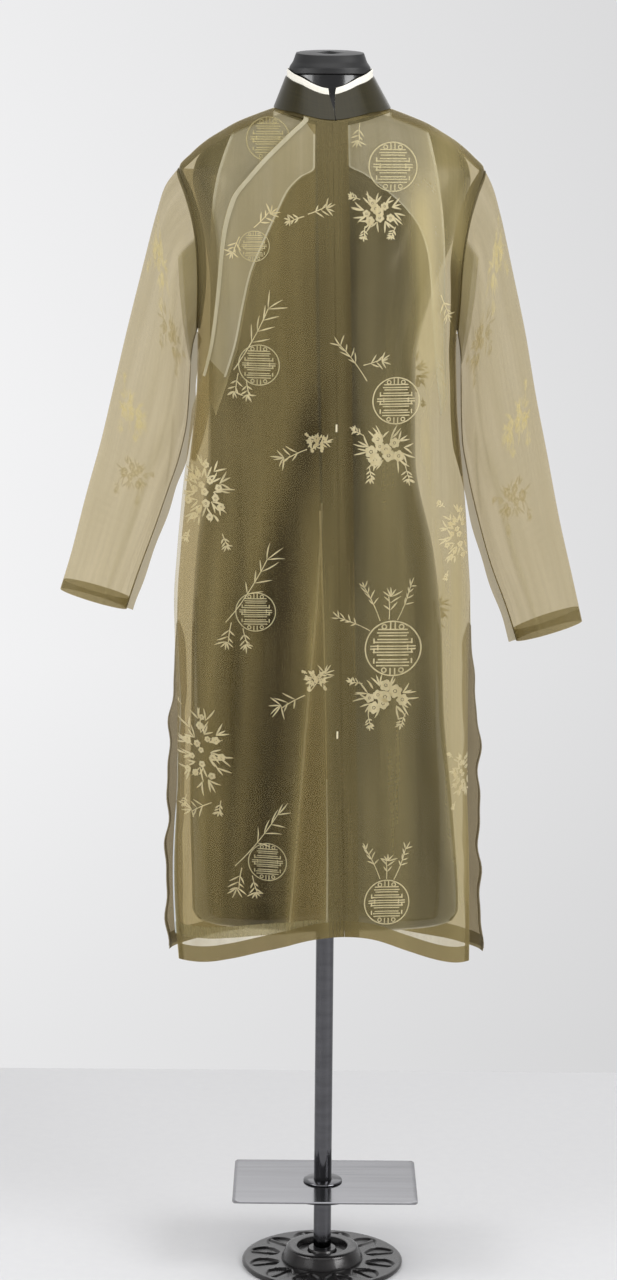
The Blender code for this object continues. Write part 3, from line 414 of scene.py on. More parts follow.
def build_mesh(name: str, points: Array, quads: Array, uv: Array, finish: Finish,
               marks: Optional[dict[str, Array]] = None) -> Obj:
    """Makes a smooth object from points, quads and one UV place for each point.

    Args:
        name: the piece's name.
        points: vertices, three columns.
        quads: four vertex numbers for each face.
        uv: places on the cloth in metres, two columns.
        finish: what it is made of.
        marks: named values for each vertex, which its finish reads.

    Returns:
        The object, at the origin.
    """
    mesh = bpy.data.meshes.new(name)
    mesh.vertices.add(len(points))
    mesh.vertices.foreach_set("co", points.astype(np.float32).ravel())
    mesh.loops.add(quads.size)
    mesh.loops.foreach_set("vertex_index", quads.astype(np.int32).ravel())
    mesh.polygons.add(len(quads))
    mesh.polygons.foreach_set("loop_start", np.arange(0, quads.size, 4, dtype=np.int32))
    mesh.polygons.foreach_set("loop_total", np.full(len(quads), 4, np.int32))
    mesh.update(calc_edges=True)
    mesh.uv_layers.new(name="UVMap").data.foreach_set("uv", uv[quads.ravel()].astype(np.float32).ravel())
    for mark, values in (marks or {}).items():
        mesh.attributes.new(mark, "FLOAT", "POINT").data.foreach_set("value", values.astype(np.float32).ravel())
    mesh.validate()
    mesh.shade_smooth()
    mesh.materials.append(finish.material())
    obj = bpy.data.objects.new(name, mesh)
    bpy.context.scene.collection.objects.link(obj)
    return obj


def facing(points: Array, away: Array, *grids: Array) -> list[Array]:
    """Grids, with their columns turned round where the points' quads don't look the way given."""
    look = np.sum(quad_normals(points) * np.broadcast_to(away, points.shape)[:-1, :-1])
    return [grid if look > 0 else grid[:, ::-1] for grid in grids]


def sheet_object(name: str, points: Array, away: Array, uv: Array, finish: Finish, around: bool = False,
                 marks: Optional[dict[str, Array]] = None) -> Obj:
    """An object from a grid of points, with its faces turned the way of the directions given."""
    marks = marks or {}
    points, uv, *values = facing(points, away, points, uv, *marks.values())
    return build_mesh(name, points.reshape(-1, 3), grid_quads(*points.shape[:2], around), uv.reshape(-1, 2), finish,
                      dict(zip(marks, values)))


def merge_points(obj: Obj) -> None:
    """Joins points that lie together, so that seams and poles are closed, and marks sharp edges."""
    modifier = obj.modifiers.new("merge", "WELD")
    modifier.merge_threshold = 0.00002
    old, obj.data = obj.data, bpy.data.meshes.new_from_object(
        obj.evaluated_get(bpy.context.evaluated_depsgraph_get()))
    obj.modifiers.clear()
    bpy.data.meshes.remove(old)
    obj.data.set_sharp_from_angle(angle=math.radians(40))


def dress(obj: Obj, finish: Finish, *nodes: str) -> Obj:
    """Puts a piece on the root body, in place of the nodes it stands for."""
    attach(obj, "root")
    if nodes:
        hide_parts(*nodes)
    LOG.info("%s: %d faces", obj.name, len(obj.data.polygons))
    return obj


def piece(name: str, points: Array, away: Array, uv: Array, finish: Finish, *nodes: str, around: bool = False,
          closed: bool = False, marks: Optional[dict[str, Array]] = None) -> Obj:
    """A dressed piece from a grid of points.

    Args:
        name: the piece's name.
        points: the grid.
        away: directions out of the surface, for each point.
        uv: places on the piece in metres.
        finish: what it is made of.
        nodes: the CAD nodes that it stands for.
        around: whether the last column meets the first.
        closed: whether its ends and poles come together.
        marks: named values for each point.

    Returns:
        The piece.
    """
    obj = sheet_object(name, points, away, uv, finish, around, marks)
    if closed:
        merge_points(obj)
    return dress(obj, finish, *nodes)


# ---------------- the body surface
@dataclass(frozen=True)
class Crease:
    """A soft ridge (rise above 0) or trough along a straight line down the cloth.

    Its height is rise times a bell across the line. The bell's width goes from width at
    the top to width times spread at the foot, and it fades in over the first third. In
    the same bell its fold value gives painted light (above 0), where the cloth is also
    gathered and covers more, or painted shade (below 0), where it is drawn out and covers less.
    """

    top_x: float
    top_z: float
    foot_x: float
    foot_z: float
    width: float
    rise: float
    spread: float = 1.0
    # painted light (above 0) or painted shade (below 0), and the cover that goes with it
    fold: Optional[float] = None

    def bell(self, x: Array, z: Array) -> Array:
        """Its bell at each place, from 0 to 1."""
        share = (self.top_z - z) / (self.top_z - self.foot_z)
        middle = self.top_x + (self.foot_x - self.top_x) * share
        wide = self.width * (1 + (self.spread - 1) * np.clip(share, 0, 1))
        fade = smoothstep(0.0, 0.35, share) * (1 - smoothstep(1.0, 1.25, share))
        return fade * np.exp(-(((x - middle) / wide) ** 2))

    def density(self) -> float:
        """How much painted light (above 0) or painted shade (below 0) it gives, with cover to match: as stated, or else
        in step with its rise.
        """
        return 110 * self.rise if self.fold is None else self.fold


def creases(*rows: Table) -> tuple[Crease, ...]:
    """Creases from rows of x and height of top and foot, width and rise, all in millimetres, spread and fold."""
    return tuple(Crease(*mm(*row[:6]), *row[6:]) for row in rows)


FRONT_CREASES = creases(
    # the folds that the solids have too
    (-30, 1220, -102, 740, 30, -5, 1.0, 0.0), (-12, 1060, -60, 463, 22, 4.5, 1.0, 0.10),
    (-150, 1100, -158, 463, 22, 3.5, 1.0, 0.12), (60, 1150, 78, 463, 28, -4, 1.0, -0.10),
    (112, 1180, 178, 463, 20, 5, 1.0, 0.20), (118, 900, 125, 463, 26, -3.5, 1.0, -0.18),
    (-118, 1480, -150, 1300, 18, 2.5, 1.0, 0.20), (124, 1500, 140, 1260, 18, 3, 1.0, 0.22),
    # the long valley beside the centre in painted shade, and the folds inside it in painted light
    (-8, 1300, -72, 980, 20, -1.2, 1.3, -0.60), (-56, 1140, -78, 500, 24, -1.2, 1.1, -0.80),
    (-8, 1100, -48, 540, 5.5, 1, 1.2, 0.55), (0, 1100, 2, 520, 7, 0.8, 1.3, 0.30),
    (-24, 1020, -28, 500, 16, 0.6, 1.3, -0.25),
    # finer ones
    (-86, 1190, -126, 560, 10, 1.2, 1.4, 0.18), (-112, 1280, -134, 463, 8, -1.1, 1.2, -0.20),
    (-170, 1260, -186, 800, 8, -1.1, 1.3, -0.25), (-140, 1150, -168, 600, 7, 0.8, 1.3, 0.22),
    (-70, 760, -72, 463, 9, 1.1, 1.4, 0.20), (36, 1330, 50, 820, 10, -1.2, 1.6, -0.25),
    (51, 1060, 56, 520, 8, 1, 1.5, 0.18), (94, 1240, 146, 640, 9, -1.4, 1.5, -0.22),
    (116, 1260, 153, 980, 7, 1.2, 1.2, 0.45), (148, 1040, 172, 640, 8, 1.1, 1.4, 0.35),
    (98, 900, 106, 463, 10, 1, 1.2, 0.22), (60, 1560, 104, 1380, 12, -1, 1.4, -0.15),
    (-62, 1550, -96, 1330, 12, 1, 1.4, 0.12), (-140, 1400, -120, 1230, 8, -0.9, 1.3, -0.18),
    (128, 1440, 128, 1190, 7, 1, 1.5, 0.35), (162, 1480, 158, 1300, 7, -1, 1.3, -0.45),
    (150, 1390, 150, 1240, 6, 0.8, 1.3, 0.25),
    # broad light and shade
    (72, 1420, 92, 560, 36, 0, 1.1, 0.46), (140, 1640, 170, 1440, 24, 0, 1.0, 0.85),
    (116, 1570, 124, 1310, 20, 0, 0.9, 0.90), (-138, 1640, -160, 1430, 24, 0, 1.0, 0.20),
    (24, 1600, 30, 1060, 9, 0, 0.9, -0.55), (-115, 1060, -112, 440, 36, 0, 1.1, -0.42),
    (166, 1160, 190, 600, 14, 0, 1.0, 0.75), (-20, 1500, -24, 1160, 22, 0, 1.0, -0.20))
BACK_CREASES = creases(
    (-125, 1180, -150, 450, 28, 5), (-60, 1000, -82, 450, 26, -4), (35, 1120, 48, 450, 24, 4.5),
    (98, 1260, 112, 450, 30, -4.5), (150, 1050, 176, 450, 22, 4), (-95, 1500, -120, 1300, 20, 2.5),
    (90, 1480, 118, 1320, 18, 2.5), (-24, 1300, -36, 760, 12, -1.4, 1.5), (-98, 1080, -110, 520, 10, -1.3, 1.3),
    (-160, 1230, -184, 640, 9, 1.2, 1.3), (12, 980, 16, 450, 10, 1.1, 1.3), (70, 1200, 80, 700, 10, 1.3, 1.5),
    (130, 1140, 142, 560, 9, -1.2, 1.3), (168, 1250, 188, 760, 8, 1, 1.3), (-40, 1590, -62, 1400, 12, 1, 1.4),
    (50, 1590, 64, 1430, 12, -1, 1.4), (-150, 1420, -120, 1250, 9, -1, 1.4), (150, 1410, 126, 1230, 9, 1, 1.4))


@dataclass(frozen=True)
class BodySurface:
    """The tunic's body: half a rounded oval at each height, in front and behind.

    At height z the outline is |x / half_width|^ROUND + |y / depth|^ROUND = 1 round the
    section's centre. All tables are read by height.
    """

    height: Table = mm(450, 600, 720, 820, 900, 955, 1020, 1100, 1174, 1230, 1300, 1324,
                       1370, 1420, 1470, 1510, 1541, 1560, 1578, 1590, 1602, 1612, 1622, 1630)
    width: Table = mm(223.5, 211, 200.5, 199, 200, 201, 197, 190.5, 182, 177, 175, 175.5,
                      179, 184, 191, 199, 205, 189, 168, 149, 128, 104, 76.5, 50)
    front: Table = mm(115, 118, 119, 120, 121, 122, 122, 122, 123, 125, 128, 128,
                      127, 122, 113, 104, 96, 89, 82, 76, 69, 60, 48, 30)
    back: Table = mm(106, 110, 112, 112, 112, 112, 110, 106, 104, 104, 107, 108,
                     110, 111, 109, 104, 98, 93, 87, 82, 77, 70, 60, 42)
    centre_x: Table = mm(0, -4, -3.5, -4, -5.5, -5.5, -5.5, -5, -5, -4.5, -4.5, -4, -2, -1) + (0.0,) * 10
    centre_y: Table = (0.0,) * 17 + mm(1, 3, 5, 7, 11, 16, 20)
    skirt_height: Table = mm(450, 610, 740, 820, 900, 955)
    front_part: Table = mm(68, 48, 30, 19, 7, 0)
    back_part: Table = mm(22, 18, 12, 8, 3, 0)
    back_flare: Table = mm(0, 10, 17, 11, 3.5, 0)
    armhole_front: float = 0.050
    armhole_back: float = 0.052

    def middle(self, z: Array) -> Array:
        """x of the section's centre."""
        return smooth(self.height, self.centre_x, z)

    def set_back(self, z: Array) -> Array:
        """y of the section's centre."""
        return smooth(self.height, self.centre_y, z)

    def half_width(self, z: Array, sheet: Sheet) -> Array:
        """Half width of the section; the back's skirt hangs wider."""
        width = smooth(self.height, self.width, z)
        return width + smooth(self.skirt_height, self.back_flare, z) if sheet is Sheet.BACK else width

    def depth(self, z: Array, sheet: Sheet) -> Array:
        """Depth of the section in front of or behind its centre."""
        return smooth(self.height, self.front if sheet is Sheet.FRONT else self.back, z)

    def share(self, x: Array, z: Array, sheet: Sheet) -> Array:
        """Distance from the middle as a share of the half width, at most 1."""
        return np.clip(np.abs(x - self.middle(z)) / self.half_width(z, sheet), 0, 1)

    def slope(self, value: Callable[[Array], Array], z: Array, nudge: float = 0.0005) -> Array:
        """How fast a value changes with height."""
        return (value(z + nudge) - value(z - nudge)) / (2 * nudge)

    def creases(self, x: Array, z: Array, sheet: Sheet) -> Array:
        """Summed height of the creases."""
        rows = FRONT_CREASES if sheet is Sheet.FRONT else BACK_CREASES
        total = sum(row.rise * row.bell(x, z) for row in rows)
        if sheet is Sheet.BACK:
            # the free side edges wave: two sines of the height, which fade in from the slit's top
            wave = np.sin(66 * z + 0.9 + np.sign(x)) + 0.6 * np.sin(109 * z + 2.0 * np.sign(x))
            total = total + 0.0020 * wave * smoothstep(0.80, 1.0, self.share(x, z, sheet)) * (
                1 - smoothstep(0.78, 0.92, z))
        return total

    def folds(self, x: Array, z: Array, sheet: Sheet) -> Array:
        """Summed painted light and shade of the creases, which also sets the cloth's cover, from -1 to 1."""
        rows = FRONT_CREASES if sheet is Sheet.FRONT else BACK_CREASES
        return np.clip(sum(row.density() * row.bell(x, z) for row in rows), -1, 1)

    def points(self, x: Array, z: Array, sheet: Sheet, offset: Array) -> tuple[Array, Array]:
        """The surface at (x, z), moved out along its normal.

        Args:
            x: places across.
            z: heights.
            sheet: front or back.
            offset: distance out.

        Returns:
            The points and the normals, each with three columns.
        """
        sign = sheet.value
        width, depth, share = self.half_width(z, sheet), self.depth(z, sheet), self.share(x, z, sheet)
        out = (1 - share**ROUND) ** (1 / ROUND)
        y = self.set_back(z) + sign * np.maximum(depth * out, GAP / 2)
        nx = np.sign(x - self.middle(z)) * share ** (ROUND - 1) / width
        ny = sign * out ** (ROUND - 1) / depth
        nz = (-(share**ROUND) * self.slope(lambda h: self.half_width(h, sheet), z) / width
              - out**ROUND * self.slope(lambda h: self.depth(h, sheet), z) / depth
              - ny * self.slope(self.set_back, z))
        normal = unit(stack(nx, ny, nz))
        moved = (offset + self.creases(x, z, sheet))[..., None] * normal
        return stack(x, y, z) + moved, normal

    def neckline(self, x: Array, sheet: Sheet) -> Array:
        """Height where the surface meets the upright oval of the neck, by halving."""
        inside = np.sqrt(np.clip(1 - (x / NECK_HALF_WIDTH) ** 2, 0, 1))
        target = NECK_CENTRE_Y + sheet.value * NECK_HALF_DEPTH * inside
        low, high = np.full(np.shape(x), 1.50), np.full(np.shape(x), self.height[-2])
        for _ in range(40):
            middle = (low + high) / 2
            out = (1 - self.share(x, middle, sheet) ** ROUND) ** (1 / ROUND)
            y = self.set_back(middle) + sheet.value * self.depth(middle, sheet) * out
            beyond = sheet.value * (y - target) > 0
            low, high = np.where(beyond, middle, low), np.where(beyond, high, middle)
        return (low + high) / 2

    def top(self, x: Array, sheet: Sheet) -> Array:
        """Upper edge: the neckline near the middle, then the shoulder's ridge."""
        heights = np.linspace(SHOULDER_TIP, self.height[-2], 4000)
        ridge = np.interp(np.abs(x), smooth(self.height, self.width, heights)[::-1], heights[::-1])
        near = np.minimum(np.abs(x), NECK_HALF_WIDTH)
        return np.where(np.abs(x) < NECK_HALF_WIDTH - 1e-6, self.neckline(near, sheet), ridge)

    def at_depth(self, z: Array, side: Side, sheet: Sheet, depth: Array) -> Array:
        """x where the surface stands this far from the middle plane."""
        share = np.clip(depth / self.depth(z, sheet), 0, 1)
        return self.middle(z) + side.value * (self.half_width(z, sheet) * (1 - share**ROUND) ** (1 / ROUND))

    def armhole(self, z: Array, side: Side, sheet: Sheet) -> Array:
        """x of the armhole: an upright oval in y and z, laid on the surface."""
        oval = np.sqrt(np.clip(1 - ((z - ARMHOLE_MIDDLE) / ARMHOLE_HALF) ** 2, 0, 1))
        return self.at_depth(z, side, sheet,
                             oval * (self.armhole_front if sheet is Sheet.FRONT else self.armhole_back))

    def side_edge(self, z: Array, side: Side, sheet: Sheet) -> Array:
        """x of a panel's outer edge: armhole, then side seam, then the slit's edge."""
        part = smooth(self.skirt_height, self.front_part if sheet is Sheet.FRONT else self.back_part, z)
        lower = self.at_depth(z, side, sheet, np.where(z < SLIT_TOP, part, 0.0))
        return np.where(z > UNDERARM, self.armhole(z, side, sheet), lower)


BODY = BodySurface()


def centre_line(z: Array) -> Array:
    """x of the centre front seam, which hangs to the left towards the hem."""
    return CENTRE_DRIFT * np.clip((1.60 - z) / 1.10, 0, 1)


def front_lift(x: Array) -> Array:
    """How far the outer fronts hang off the body: they come down to it left of the centre."""
    return LIFT * (1 - smoothstep(0.028, 0.066, x))


# ---------------- panels
PANEL_SHARES = np.array([0.0, 0.17, 0.34, 0.51, 0.66, 0.79, 0.88, 0.94, 0.976, 0.994, 1.0])
NECK_SHARES = np.array([0.0, 0.30, 0.56, 0.77, 0.91, 1.0])
SHOULDER_SHARES = np.array([0.22, 0.44, 0.66, 0.86, 1.0])


@dataclass
class Panel:
    """A cut panel on the body surface, as a grid of (x, z) that runs down and across."""

    name: str
    x: Array
    z: Array
    sheet: Sheet
    offset: Array
    seam_band: float = 0.0205
    slit_band: float = 0.010
    stitches: float = 0.0016
    armhole_band: float = 0.0060
    pieces: list[Obj] = field(default_factory=list)

    def __post_init__(self) -> None:
        """Works out the grid's points and its lengths across and down."""
        self.offset = np.broadcast_to(self.offset, self.x.shape)
        self.surface, self.normal = BODY.points(self.x, self.z, self.sheet, self.offset)
        self.run, self.fall = lengths(self.surface, 1), lengths(self.surface, 0)

    def at_run(self, distance: Array) -> tuple[Array, Array, Array]:
        """x, z and offset at distances along each row from the centre edge, row by row."""
        column = (self.run[:, :, None] < distance[:, None, :]).sum(axis=1) - 1
        column = np.clip(column, 0, self.x.shape[1] - 2)
        row = np.arange(len(self.x))[:, None]
        low, high = self.run[row, column], self.run[row, column + 1]
        share = np.clip((distance - low) / np.maximum(high - low, 1e-9), 0, 1)
        return tuple(grid[row, column] * (1 - share) + grid[row, column + 1] * share
                     for grid in (self.x, self.z, self.offset))

    def row_near(self, z: float) -> int:
        """The row whose outer edge is nearest this height."""
        return int(np.argmin(np.abs(self.z[:, -1] - z)))

    def below(self, z: float) -> slice:
        """The rows from this height down."""
        return slice(self.row_near(z), None)

    def layer(self, name: str, x: Array, z: Array, offset: Array, finish: Finish, *nodes: str,
              uv: Optional[Array] = None) -> None:
        """Another layer on this panel, from a grid of (x, z)."""
        x, z, offset = np.broadcast_arrays(x, z, offset)
        points, normal = BODY.points(x, z, self.sheet, offset)
        self.pieces.append(piece(name, points, normal, stack(x, z) if uv is None else uv, finish, *nodes))

    def edge_band(self, name: str, start: float, width: float, rows: slice, from_side: bool, level: float,
                  finish: Finish, *nodes: str) -> None:
        """A band beside the outer or the centre edge, from start to start plus width in."""
        share = np.linspace(start, start + width, 6) + np.zeros((len(self.x), 1))
        distance = self.run[:, -1:] - share if from_side else share
        x, z, offset = (grid[rows] for grid in self.at_run(distance))
        self.layer(name, x, z, offset + level, finish, *nodes, uv=stack(distance, -self.fall[:, :6])[rows])

    def side_layers(self, name: str, side: Side, heights: Table, widths: Table, level: float,
                    finish: Finish) -> None:
        """More layers of cloth beside the side edge, as wide across the body as widths say at each height. Beside the
        front armholes they are partly painted shade.
        """
        rows = np.linspace(heights[0], heights[-1], 60)[:, None]
        edge = BODY.side_edge(rows, side, self.sheet)
        x = edge - side.value * smooth(heights, widths, rows) * np.linspace(0, 1, 8)
        self.layer(name, x, np.minimum(rows, BODY.top(x, self.sheet) - 0.001), level, finish)

    def hem_band(self, name: str, height: float, level: float, finish: Finish, *nodes: str) -> None:
        """A band along the lowest edge, of the given height."""
        z = self.z[-1] + np.linspace(1, 0, 6)[:, None] * height
        self.layer(name, self.x[-1], z, self.offset[-1] + level, finish, *nodes, uv=stack(self.run[-1], z))

    def seam_allowances(self, name: str, shoulder: float) -> None:
        """Cloth turned in along the armhole and the shoulder, where it lies in several layers; the armhole's band is
        darkened further as painted shade.
        """
        self.edge_band("armhole_allowance_" + name, 0.0, self.armhole_band, slice(0, self.row_near(UNDERARM)), True,
                       -0.0007, ARMHOLE_LAYERS_AND_SHADE)
        outer = np.abs(self.x[0]) > NECK_HALF_WIDTH
        x = self.x[0][outer]
        z = BODY.top(x, self.sheet) - np.linspace(0, 1, 5)[:, None] * shoulder
        self.layer("shoulder_allowance_" + name, x, z, self.offset[0][outer] - 0.0006, CENTRE_BAND)

    def centre_seam(self, key: str) -> None:
        """The allowance and the stitching beside the centre edge."""
        self.edge_band("centre_seam_" + key, 0.0, self.seam_band, slice(None), False, -0.0006, CENTRE_BAND,
                       "seam_" + key)
        self.edge_band("centre_stitching_" + key, 0.0, self.stitches, slice(None), False, -0.0010, SEAM)

    def turned_edges(self, key: str, hem: float, finish: Finish) -> None:
        """Turned hem and slit edge."""
        self.hem_band("turned_hem_" + key, hem, -0.0006, finish, "hem_" + key)
        self.edge_band("turned_slit_" + key, 0.0, self.slit_band, self.below(SLIT_TOP), True, -0.0009, finish,
                       "slit_" + key)

    def build(self, finish: Finish, node: str) -> None:
        """The panel itself, and what it was cut to: its longest length by its greatest width."""
        # The fold mark paints light and shade on the cloth and changes its cover: lighter on some folds, darker in the
        # valleys.
        obj = piece(self.name, self.surface, self.normal, stack(self.run, -self.fall), finish, node,
                    marks={"fold": BODY.folds(self.x, self.z, self.sheet)})
        width, length = float(self.run[:, -1].max()), float(self.fall[-1].max())
        area = min(grid_area(self.surface), width * length)
        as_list(self.pieces)
        LOG.info("%s is cut %.0f x %.0f mm, %.3f square metres", obj.name, width * 1000, length * 1000, area)


def panel_grid(edge_z: Array, edge_x: Array, inner_x: Callable[[Array], Array], top: Callable[[Array], Array],
               hem: tuple[float, float], top_shares: Array) -> tuple[Array, Array]:
    """x and z of a panel whose rows run from its inner edge to its outer edge.

    Each row keeps the share of the top line that is left at its height, so rows slope with
    the shoulder at the top and with the hem at the bottom.

    Args:
        edge_z: heights of the rows at the outer edge.
        edge_x: x of the outer edge at each.
        inner_x: x of the inner edge from heights.
        top: height of the top line from x.
        hem: height of the hem at the side, and its rise from there to the centre.
        top_shares: where the columns start on the top line, from 0 to 1.

    Returns:
        Grids of x and z.
    """
    shares = spread(PANEL_SHARES, len(top_shares))
    down = ((edge_z[0] - edge_z) / (edge_z[0] - edge_z[-1]))[:, None]
    start = inner_x(np.array([NECK_LEVEL]))[0]
    hem_z = hem[0] + hem[1] * (1 - smoothstep(0.0, 1.0, shares))
    z = top(start + top_shares * (edge_x[0] - start)) * (1 - down) + hem_z * down
    mix = np.clip((edge_z[0] - edge_z) / (edge_z[0] - UNDERARM), 0, 1)[:, None]
    inner = inner_x(z[:, :1])
    return inner + (top_shares * (1 - mix) + shares * mix) * (edge_x[:, None] - inner), z


def half_panel(side: Side, sheet: Sheet, inner: Callable[[Array], Array], hem: tuple[float, float],
               edge_out: float = 0.0, columns: int = 101) -> tuple[Array, Array]:
    """x and z of a whole half: neckline, shoulder, armhole, side seam, slit and hem."""
    armhole = ARMHOLE_MIDDLE + ARMHOLE_HALF * np.cos(np.linspace(0, math.pi, 51))
    rows = np.concatenate([armhole, np.linspace(UNDERARM, SLIT_TOP, 71)[1:], np.linspace(SLIT_TOP, hem[0], 91)[1:]])
    edge = BODY.side_edge(rows, side, sheet) + side.value * edge_out * smoothstep(0.80, 0.72, rows)
    start = inner(np.array([NECK_LEVEL]))[0]
    neck = (side.value * NECK_HALF_WIDTH - start) / (edge[0] - start)
    top_shares = np.concatenate([neck * NECK_SHARES, neck + (1 - neck) * SHOULDER_SHARES])
    return panel_grid(rows, edge, inner, lambda x: BODY.top(x, sheet), hem, spread(top_shares, columns))


@dataclass(frozen=True)
class Fronts:
    """Outer right and left fronts, and the inner right front under the closing."""

    hem: tuple[float, float] = (0.463, 0.046)
    inner_hem: tuple[float, float] = (0.496, 0.020)
    hem_band: float = 0.022
    inner_hem_band: float = 0.016
    binding: float = 0.007
    binding_foot: float = 1.262
    inner_edge: tuple[float, float] = (-0.0215, 0.003)
    pleat_height: Table = mm(520, 715, 830, 960, 1080)
    pleat_line: Table = mm(-49, -34.5, -26.5, -16, -10)
    closing_height: Table = mm(1200, 1250, 1309, 1382, 1454, 1500, 1533, 1568, 1603)
    closing_out: Table = mm(187.4, 172, 156, 148, 143, 132, 108, 75, 38)

    def closing_edge(self, z: Array) -> Array:
        """Outer edge of the outer right front: closing line, then side seam, then slit."""
        below = BODY.side_edge(z, Side.RIGHT, Sheet.FRONT)
        line = np.maximum(-smooth(self.closing_height, self.closing_out, z), below)
        return np.where(z > self.closing_height[0], line, below)

    def outer_right(self) -> Panel:
        """The outer right front's grid."""
        top = float(BODY.neckline(np.array([self.closing_out[-1]]), Sheet.FRONT)[0])
        foot = self.closing_height[0]
        rows = np.concatenate([top + (foot - top) * np.linspace(0, 1, 81) ** 1.35,
                               np.linspace(foot, SLIT_TOP, 51)[1:], np.linspace(SLIT_TOP, self.hem[0], 91)[1:]])
        x, z = panel_grid(rows, self.closing_edge(rows), lambda h: centre_line(h) - GAP / 2,
                          lambda a: BODY.neckline(np.abs(a), Sheet.FRONT), self.hem, np.linspace(0, 1, 101))
        return Panel("outer_front_right", x, z, Sheet.FRONT, front_lift(x))

    def outer_left(self) -> Panel:
        """The outer left front's grid."""
        x, z = half_panel(Side.LEFT, Sheet.FRONT, lambda h: centre_line(h) + GAP / 2, self.hem)
        return Panel("outer_front_left", x, z, Sheet.FRONT, front_lift(x))

    def inner_right(self) -> Panel:
        """The inner right front's grid, whose centre edge swings out towards the hem."""
        top, low = self.inner_edge
        x, z = half_panel(Side.RIGHT, Sheet.FRONT, lambda h: top + (low - top) * smoothstep(1.50, 0.60, h),
                          self.inner_hem, 0.0055)
        return Panel("inner_front_right", x, z, Sheet.FRONT, np.array(0.0))

    def build(self) -> None:
        """All three fronts with their bands."""
        right, left, inner = self.outer_right(), self.outer_left(), self.inner_right()
        for panel, key in ((right, "outer_right"), (left, "outer_left")):
            panel.centre_seam(key)
            panel.turned_edges(key, self.hem_band, ORGANZA_DOUBLE)
        self.bindings(inner)
        self.centre_pleat(inner)
        right.edge_band("closing_edge_binding", 0.0005, self.binding, slice(1, right.row_near(self.binding_foot)), True,
                        -0.0006, IVORY_EDGE, "closing_binding")
        left.seam_allowances("front_left", 0.010)
        inner.seam_allowances("front_right", 0.012)
        # The dark layers beside the armholes are partly seam layers and partly painted shade of the fold shadow between
        # body and sleeve.
        left.side_layers("armhole_layers_left", Side.LEFT, mm(1130, 1180, 1345, 1380, 1420, 1470, 1520, 1552),
                         mm(2, 10, 11, 12, 15, 16, 13, 3), -0.0010, ARMHOLE_LAYERS_AND_SHADE)
        inner.side_layers("armhole_line_right", Side.RIGHT, mm(1345, 1400, 1480, 1545), mm(4, 5, 5, 4), -0.0013,
                          ARMHOLE_LAYERS_AND_SHADE)
        inner.side_layers("armhole_layers_right", Side.RIGHT, mm(1150, 1200, 1290, 1380, 1470, 1540),
                          mm(8, 18, 24, 26, 26, 36), -0.0010, LAYERS_AND_SHADE_BESIDE_ARMHOLE)
        right.build(ORGANZA, "front_outer_right")
        left.build(ORGANZA, "front_outer_left")
        inner.build(ORGANZA, "front_inner_right")

    def bindings(self, inner: Panel) -> None:
        """Ivory silk round the inner front's hem, slit edge and centre edge, inside and outside."""
        inner.turned_edges("inner_right", self.inner_hem_band, IVORY_HEM)
        inner.edge_band("inner_front_turned_edge", 0.0, 0.0025, inner.below(1.05), False, -0.0006, IVORY_EDGE)
        inner.hem_band("bound_hem_inner_right", self.inner_hem_band, 0.0006, IVORY_HEM)
        inner.edge_band("bound_slit_inner_right", 0.0, 0.0130, inner.below(SLIT_TOP), True, 0.0006, IVORY_EDGE)
        inner.edge_band("bound_edge_inner_right", 0.0, 0.0022, inner.below(0.70), False, 0.0006, IVORY_EDGE)

    def centre_pleat(self, inner: Panel) -> None:
        """The inner front's centre edge folded back over it, wider towards the hem, with a fold line; both are pale as
        painted light.
        """
        rows = inner.below(1.06)
        centre, z = inner.x[rows, :1], inner.z[rows, :1]
        fold = smooth(self.pleat_height, self.pleat_line, z)
        inner.layer("inner_front_folded_edge", centre + (fold - centre) * np.linspace(0, 1, 12), z, -0.0012, FOLDED_BACK_PAINTED_LIGHT)
        inner.layer("inner_front_fold_line", fold - np.linspace(-0.0012, 0.0012, 3), z, 0.0005, FOLD_LINE_PAINTED_LIGHT)


@dataclass(frozen=True)
class Backs:
    """Two back panels with a centre seam."""

    hem: tuple[float, float] = (0.452, 0.022)
    hem_band: float = 0.022
    edge_heights: Table = mm(456, 700, 880, 920)
    edge_widths: Table = mm(22, 22, 13.2, 3)

    def build(self) -> None:
        """Both backs with their bands."""
        for side in Side:
            key = "back_" + side.name.lower()
            x, z = half_panel(side, Sheet.BACK, lambda h, s=side: 0 * h + s.value * GAP / 2, self.hem)
            panel = Panel(key + "_panel", x, z, Sheet.BACK, np.array(0.0))
            panel.centre_seam(key)
            panel.turned_edges(key, self.hem_band, ORGANZA_DOUBLE)
            panel.side_layers("turned_edge_" + key, side, self.edge_heights, self.edge_widths, 0.0005, TURNED)
            panel.seam_allowances(key, 0.010)
            panel.build(ORGANZA, key)


